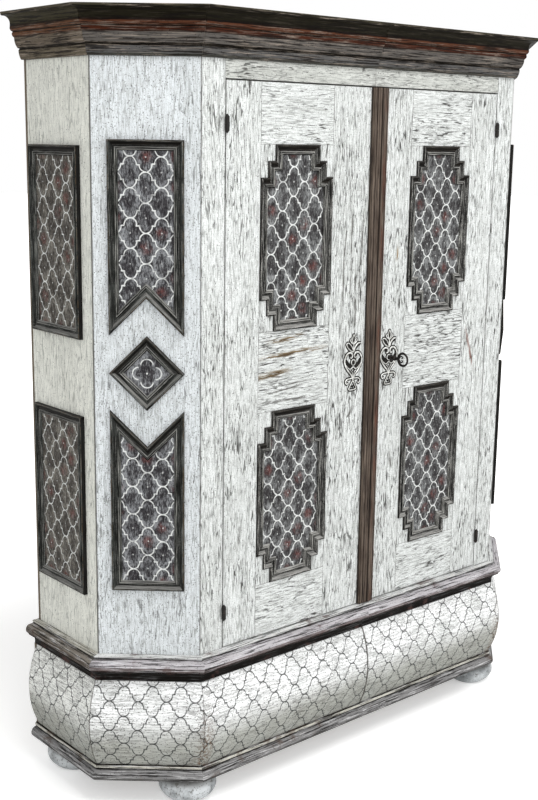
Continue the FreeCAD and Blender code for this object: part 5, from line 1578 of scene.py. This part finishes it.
# %% Shank and bit
SHANK_AXES = ((0, 0, 1), (-1, 0, 0), (0, -1, 0))
BIT_HALF_LENGTH, BIT_HALF_THICKNESS = 0.0045, 0.0015
BIT_DROP = (0.017, 0.002)           # its lower and upper edge, down from the axis
shank_profile = np.array([
    (0.6, 0), (3.2, 0.6), (4.0, 2), (4.0, 48), (7.2, 49), (8.2, 51), (7.2, 53),
    (4.8, 54), (4.4, 59), (5.8, 60), (7.0, 63), (5.8, 66), (4.4, 67), (4.2, 72), (0.5, 73.5),
]) * MM
shank_length = key_high.y - bow_y - BOW_RADIUS + 2 * MM     # it enters the bow by 2 mm
stretch_to = shank_length / shank_profile[-1, 1]
turned(key_shell, shank_profile[:, 0], shank_profile[:, 1] * stretch_to,
       (KEY_X, key_high.y, KEY_Z), SHANK_AXES, 24)
bit_y = middle_of("lock_bolt")[1]
bit_ys, bit_zs = (bit_y - BIT_HALF_LENGTH, bit_y + BIT_HALF_LENGTH), [KEY_Z - d for d in BIT_DROP]
bit_outline = section([(bit_ys[0], bit_zs[0]), (bit_ys[1], bit_zs[0]),
                       (bit_ys[1], bit_zs[1]), (bit_ys[0], bit_zs[1])], soften=0.0006)
bit_grid = np.stack([np.column_stack([np.full(len(bit_outline), KEY_X + half), bit_outline])
                     for half in (-BIT_HALF_THICKNESS, BIT_HALF_THICKNESS)])
key_shell.sweep(bit_grid, bit_grid[..., 1:])
stand_for(key_shell.build("forged_key", iron), "key", SLOT_OF["key"], "key")

# %% [markdown]
# ## The meeting bar
#
# The bar that covers the meeting edges is a strip of reeds in worn brown paint. The solid
# already has the reeds, so only the finish is new. Its hollows are darker, as dirt and as
# painted shade. That could be painted by hand along each hollow, but the hollows are
# straight and upright, so X alone finds them.

# %% Meeting bar
BAR_HOLLOWS = (-0.30, -0.03, 0.155, 0.385, 0.585, 0.82)     # as shares of the bar's width


def bar_paint():
    """Brown reeds, rust-red to the right, with dirt and painted shade in the hollows and tan wear
    up the bar.
    """
    f = Finish("meeting_bar_paint")
    place = f.place()
    x, _, _ = f.split(place)
    run = f.stretch(place, (1, 1, 0.03))
    streaks = f.noise(run, 420.0, 5.0, 0.68, 0.3)
    patches = f.noise(f.stretch(place, (1, 1, 0.4)), 14.0, 4.0, 0.6)
    start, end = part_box("meeting_bar")[low].x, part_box("meeting_bar")[high].x
    across = (x - start) / (end - start)
    red = across.fade(0.40, 0.60) * patches.fade(0.60, 0.40)
    tone = f.coats(chip(72, 61, 53), ((104, 92, 82), patches.fade(0.35, 0.65)),
                   ((104, 64, 50), red * 0.65), ((26, 20, 17), streaks.fade(0.50, 0.60) * 0.85),
                   ((144, 132, 116), streaks.fade(0.42, 0.32) * 0.55))
    for hollow_at in BAR_HOLLOWS:
        # Dirt and painted shade in each hollow and in the gaps beside the bead.
        dirt = abs(across - hollow_at).fade(0.040, 0.012) * 0.75
        tone = f.coats(tone, ((20, 15, 13), dirt))
    tone = f.coats(tone, ((28, 24, 22), f.edges(0.0016).fade(0.05, 0.4) * 0.5))
    return f.finish(tone, 0.5 + 0.2 * streaks, f.bump(streaks, 0.0008))


paint(bar_paint(), "meeting_bar", "left_door_meeting_bead")

# %% [markdown]
# ## Bare wood
#
# Shelves, floors and back were never painted. Planed softwood is a warm tan with darker
# growth rings. Real rings are cuts through a cone, and a Wave texture bent by noise is the
# usual stand-in. A sine of stretched noise gives rings that close and part as on boards.

# %% Bare softwood
def bare_wood(name, grain, light, dark):
    """Wood between two colours: rings are sin(40 n) of stretched noise n, with grey age."""
    f = Finish(name)
    place = f.place()
    run = f.stretch(place, grain)
    rings = (f.noise(run, 26.0, 3.0, 0.5, 0.6) * 40.0).sine()
    fibres = f.noise(run, 380.0, 4.0, 0.7)
    age = f.noise(place, 4.0, 4.0, 0.6)
    tone = f.coats(chip(*light), (dark, (rings * 0.5 + 0.5) * 0.7),
                   ((112, 96, 78), fibres.fade(0.5, 0.7) * 0.5),
                   ((128, 120, 108), age.fade(0.4, 0.7) * 0.45),
                   ((60, 50, 40), f.edges(0.0022).fade(0.02, 0.3) * 0.6))
    return f.finish(tone, 0.6 + 0.15 * fibres, f.bump(fibres, 0.0005))


TAN, BROWN = (186, 154, 112), (146, 112, 76)
paint(bare_wood("bare_wood_level", LEVEL, TAN, BROWN), "shelves", "cupboard_floor",
      "bottom_board", "top_board")
paint(bare_wood("sooty_wood_upright", UPRIGHT, (104, 92, 78), (74, 64, 53)),
      "back_boards", "base_back")
paint(bare_wood("bare_wood_battens", LEVEL_ALONG_Y, TAN, BROWN), "joining_battens",
      "shelf_cleats")

# %% [markdown]
# ## Floor, lights and camera
#
# A pale floor and large soft lamps stand for a bright workshop. The lamps sit above and
# in front, so the bow of the base is bright above and falls off below, and its paint is
# greyed below as painted shade as well. Stronger lamps would make the floor white too, but
# would bleach the paint. So the floor adds a little white for camera rays only, which
# reads as white paper and keeps the shadow. The camera stands to the left of the front,
# near the height of the cornice.

# %% Paper floor
def paper_floor():
    """Diffuse pale floor, plus a white glow, stronger far off, that only the eye sees."""
    f = Finish("paper_floor")
    f.feed(f.shader.inputs["Base Color"], chip(238, 238, 237))
    f.feed(f.shader.inputs["Roughness"], 0.9)
    f.feed(f.shader.inputs["Specular IOR Level"], 0.1)
    away = f.node("ShaderNodeVectorMath", {"operation": "LENGTH"}, {0: f.place()}, "Value")
    glow = seen_directly(f) * (0.40 + away.fade(1.1, 2.6) * 0.6)
    f.feed(f.shader.inputs["Emission Color"], f.mix((0, 0, 0, 1), (1, 1, 1, 1), glow))
    f.feed(f.shader.inputs["Emission Strength"], 1.0)
    return f.material


def seen_directly(f):
    """1 for rays that come from the camera, a mirror or glass, else 0."""
    rays = f.node("ShaderNodeLightPath").output.node.outputs
    camera, glossy, through = (Socket(f, rays[name]) for name in (
        "Is Camera Ray", "Is Glossy Ray", "Is Transmission Ray"))
    return camera.largest(glossy).largest(through)


FLOOR_HALF = 30.0
floor_mesh = bpy.data.meshes.new("paper_floor")
floor_mesh.from_pydata([(x * FLOOR_HALF, y * FLOOR_HALF, 0) for x, y in (
    (-1, -1), (1, -1), (1, 1), (-1, 1))], [], [(0, 1, 2, 3)])
floor_mesh.materials.append(paper_floor())
floor = bpy.data.objects.new("paper_floor", floor_mesh)
bpy.context.scene.collection.objects.link(floor)
print("floor is", 2 * FLOOR_HALF, "m wide")

# %% Room light
ROOM_LIGHT = 0.62                   # on the cupboard; the room itself looks white
world = bpy.data.worlds.new("bright_room")
world.use_nodes = True
bpy.context.scene.world = world
sky = world.node_tree
background = next(n for n in sky.nodes if n.type == "BACKGROUND")
background.inputs["Color"].default_value = (1.0, 1.0, 1.0, 1.0)
rays = sky.nodes.new("ShaderNodeLightPath")
strength = sky.nodes.new("ShaderNodeMapRange")
strength.inputs["To Min"].default_value = ROOM_LIGHT
strength.inputs["To Max"].default_value = 1.0
seen = sky.nodes.new("ShaderNodeMath")
seen.operation = "MAXIMUM"
sky.links.new(rays.outputs["Is Camera Ray"], seen.inputs[0])
sky.links.new(rays.outputs["Is Glossy Ray"], seen.inputs[1])
sky.links.new(seen.outputs[0], strength.inputs["Value"])
sky.links.new(strength.outputs["Result"], background.inputs["Strength"])
print("room light", ROOM_LIGHT)

# %% Soft lamps
def softbox(name, place, target, size, power):
    """A square area lamp that looks at a target."""
    lamp = bpy.data.lights.new(name, "AREA")
    lamp.shape, lamp.size, lamp.energy = "SQUARE", size, power
    holder = bpy.data.objects.new(name, lamp)
    aim = (Vector(target) - Vector(place)).to_track_quat("-Z", "Y")
    holder.matrix_world = Matrix.Translation(place) @ aim.to_matrix().to_4x4()
    bpy.context.scene.collection.objects.link(holder)
    print(name, "at", place, "with", power, "W")


softbox("front_left_lamp", (-3.4, -3.6, 2.9), (-0.3, 0, 0.9), 2.6, 50)
softbox("front_right_lamp", (2.6, -3.9, 1.9), (0.5, 0, 0.9), 2.4, 46)
softbox("top_lamp", (-0.6, -2.2, 4.8), (-0.1, -0.2, 0.4), 2.4, 120)

# %% Camera
CAMERA_PLACE = Vector((-2.2997, -2.4487, 1.6708))
YAW, PITCH, ROLL = math.radians(40.934), math.radians(12.095), 0.0147
LENS_MM, SENSOR_MM, FARTHEST = 54.67, 36.0, 200.0
forward = Vector((math.sin(YAW) * math.cos(PITCH), math.cos(YAW) * math.cos(PITCH),
                  -math.sin(PITCH)))
right = Vector((math.cos(YAW), -math.sin(YAW), 0))
upwards = right.cross(forward)
camera_x = right * math.cos(ROLL) + upwards * math.sin(ROLL)
camera_y = upwards * math.cos(ROLL) - right * math.sin(ROLL)
lens = bpy.data.cameras.new("camera")
lens.lens, lens.sensor_width, lens.clip_end = LENS_MM, SENSOR_MM, FARTHEST
camera = bpy.data.objects.new("camera", lens)
camera.matrix_world = (Matrix.Translation(CAMERA_PLACE)
                       @ Matrix((camera_x, camera_y, -forward)).transposed().to_4x4())
bpy.context.scene.collection.objects.link(camera)
bpy.context.scene.camera = camera
bpy.context.scene.view_settings.view_transform = "Standard"
print("camera at", tuple(round(c, 2) for c in CAMERA_PLACE))
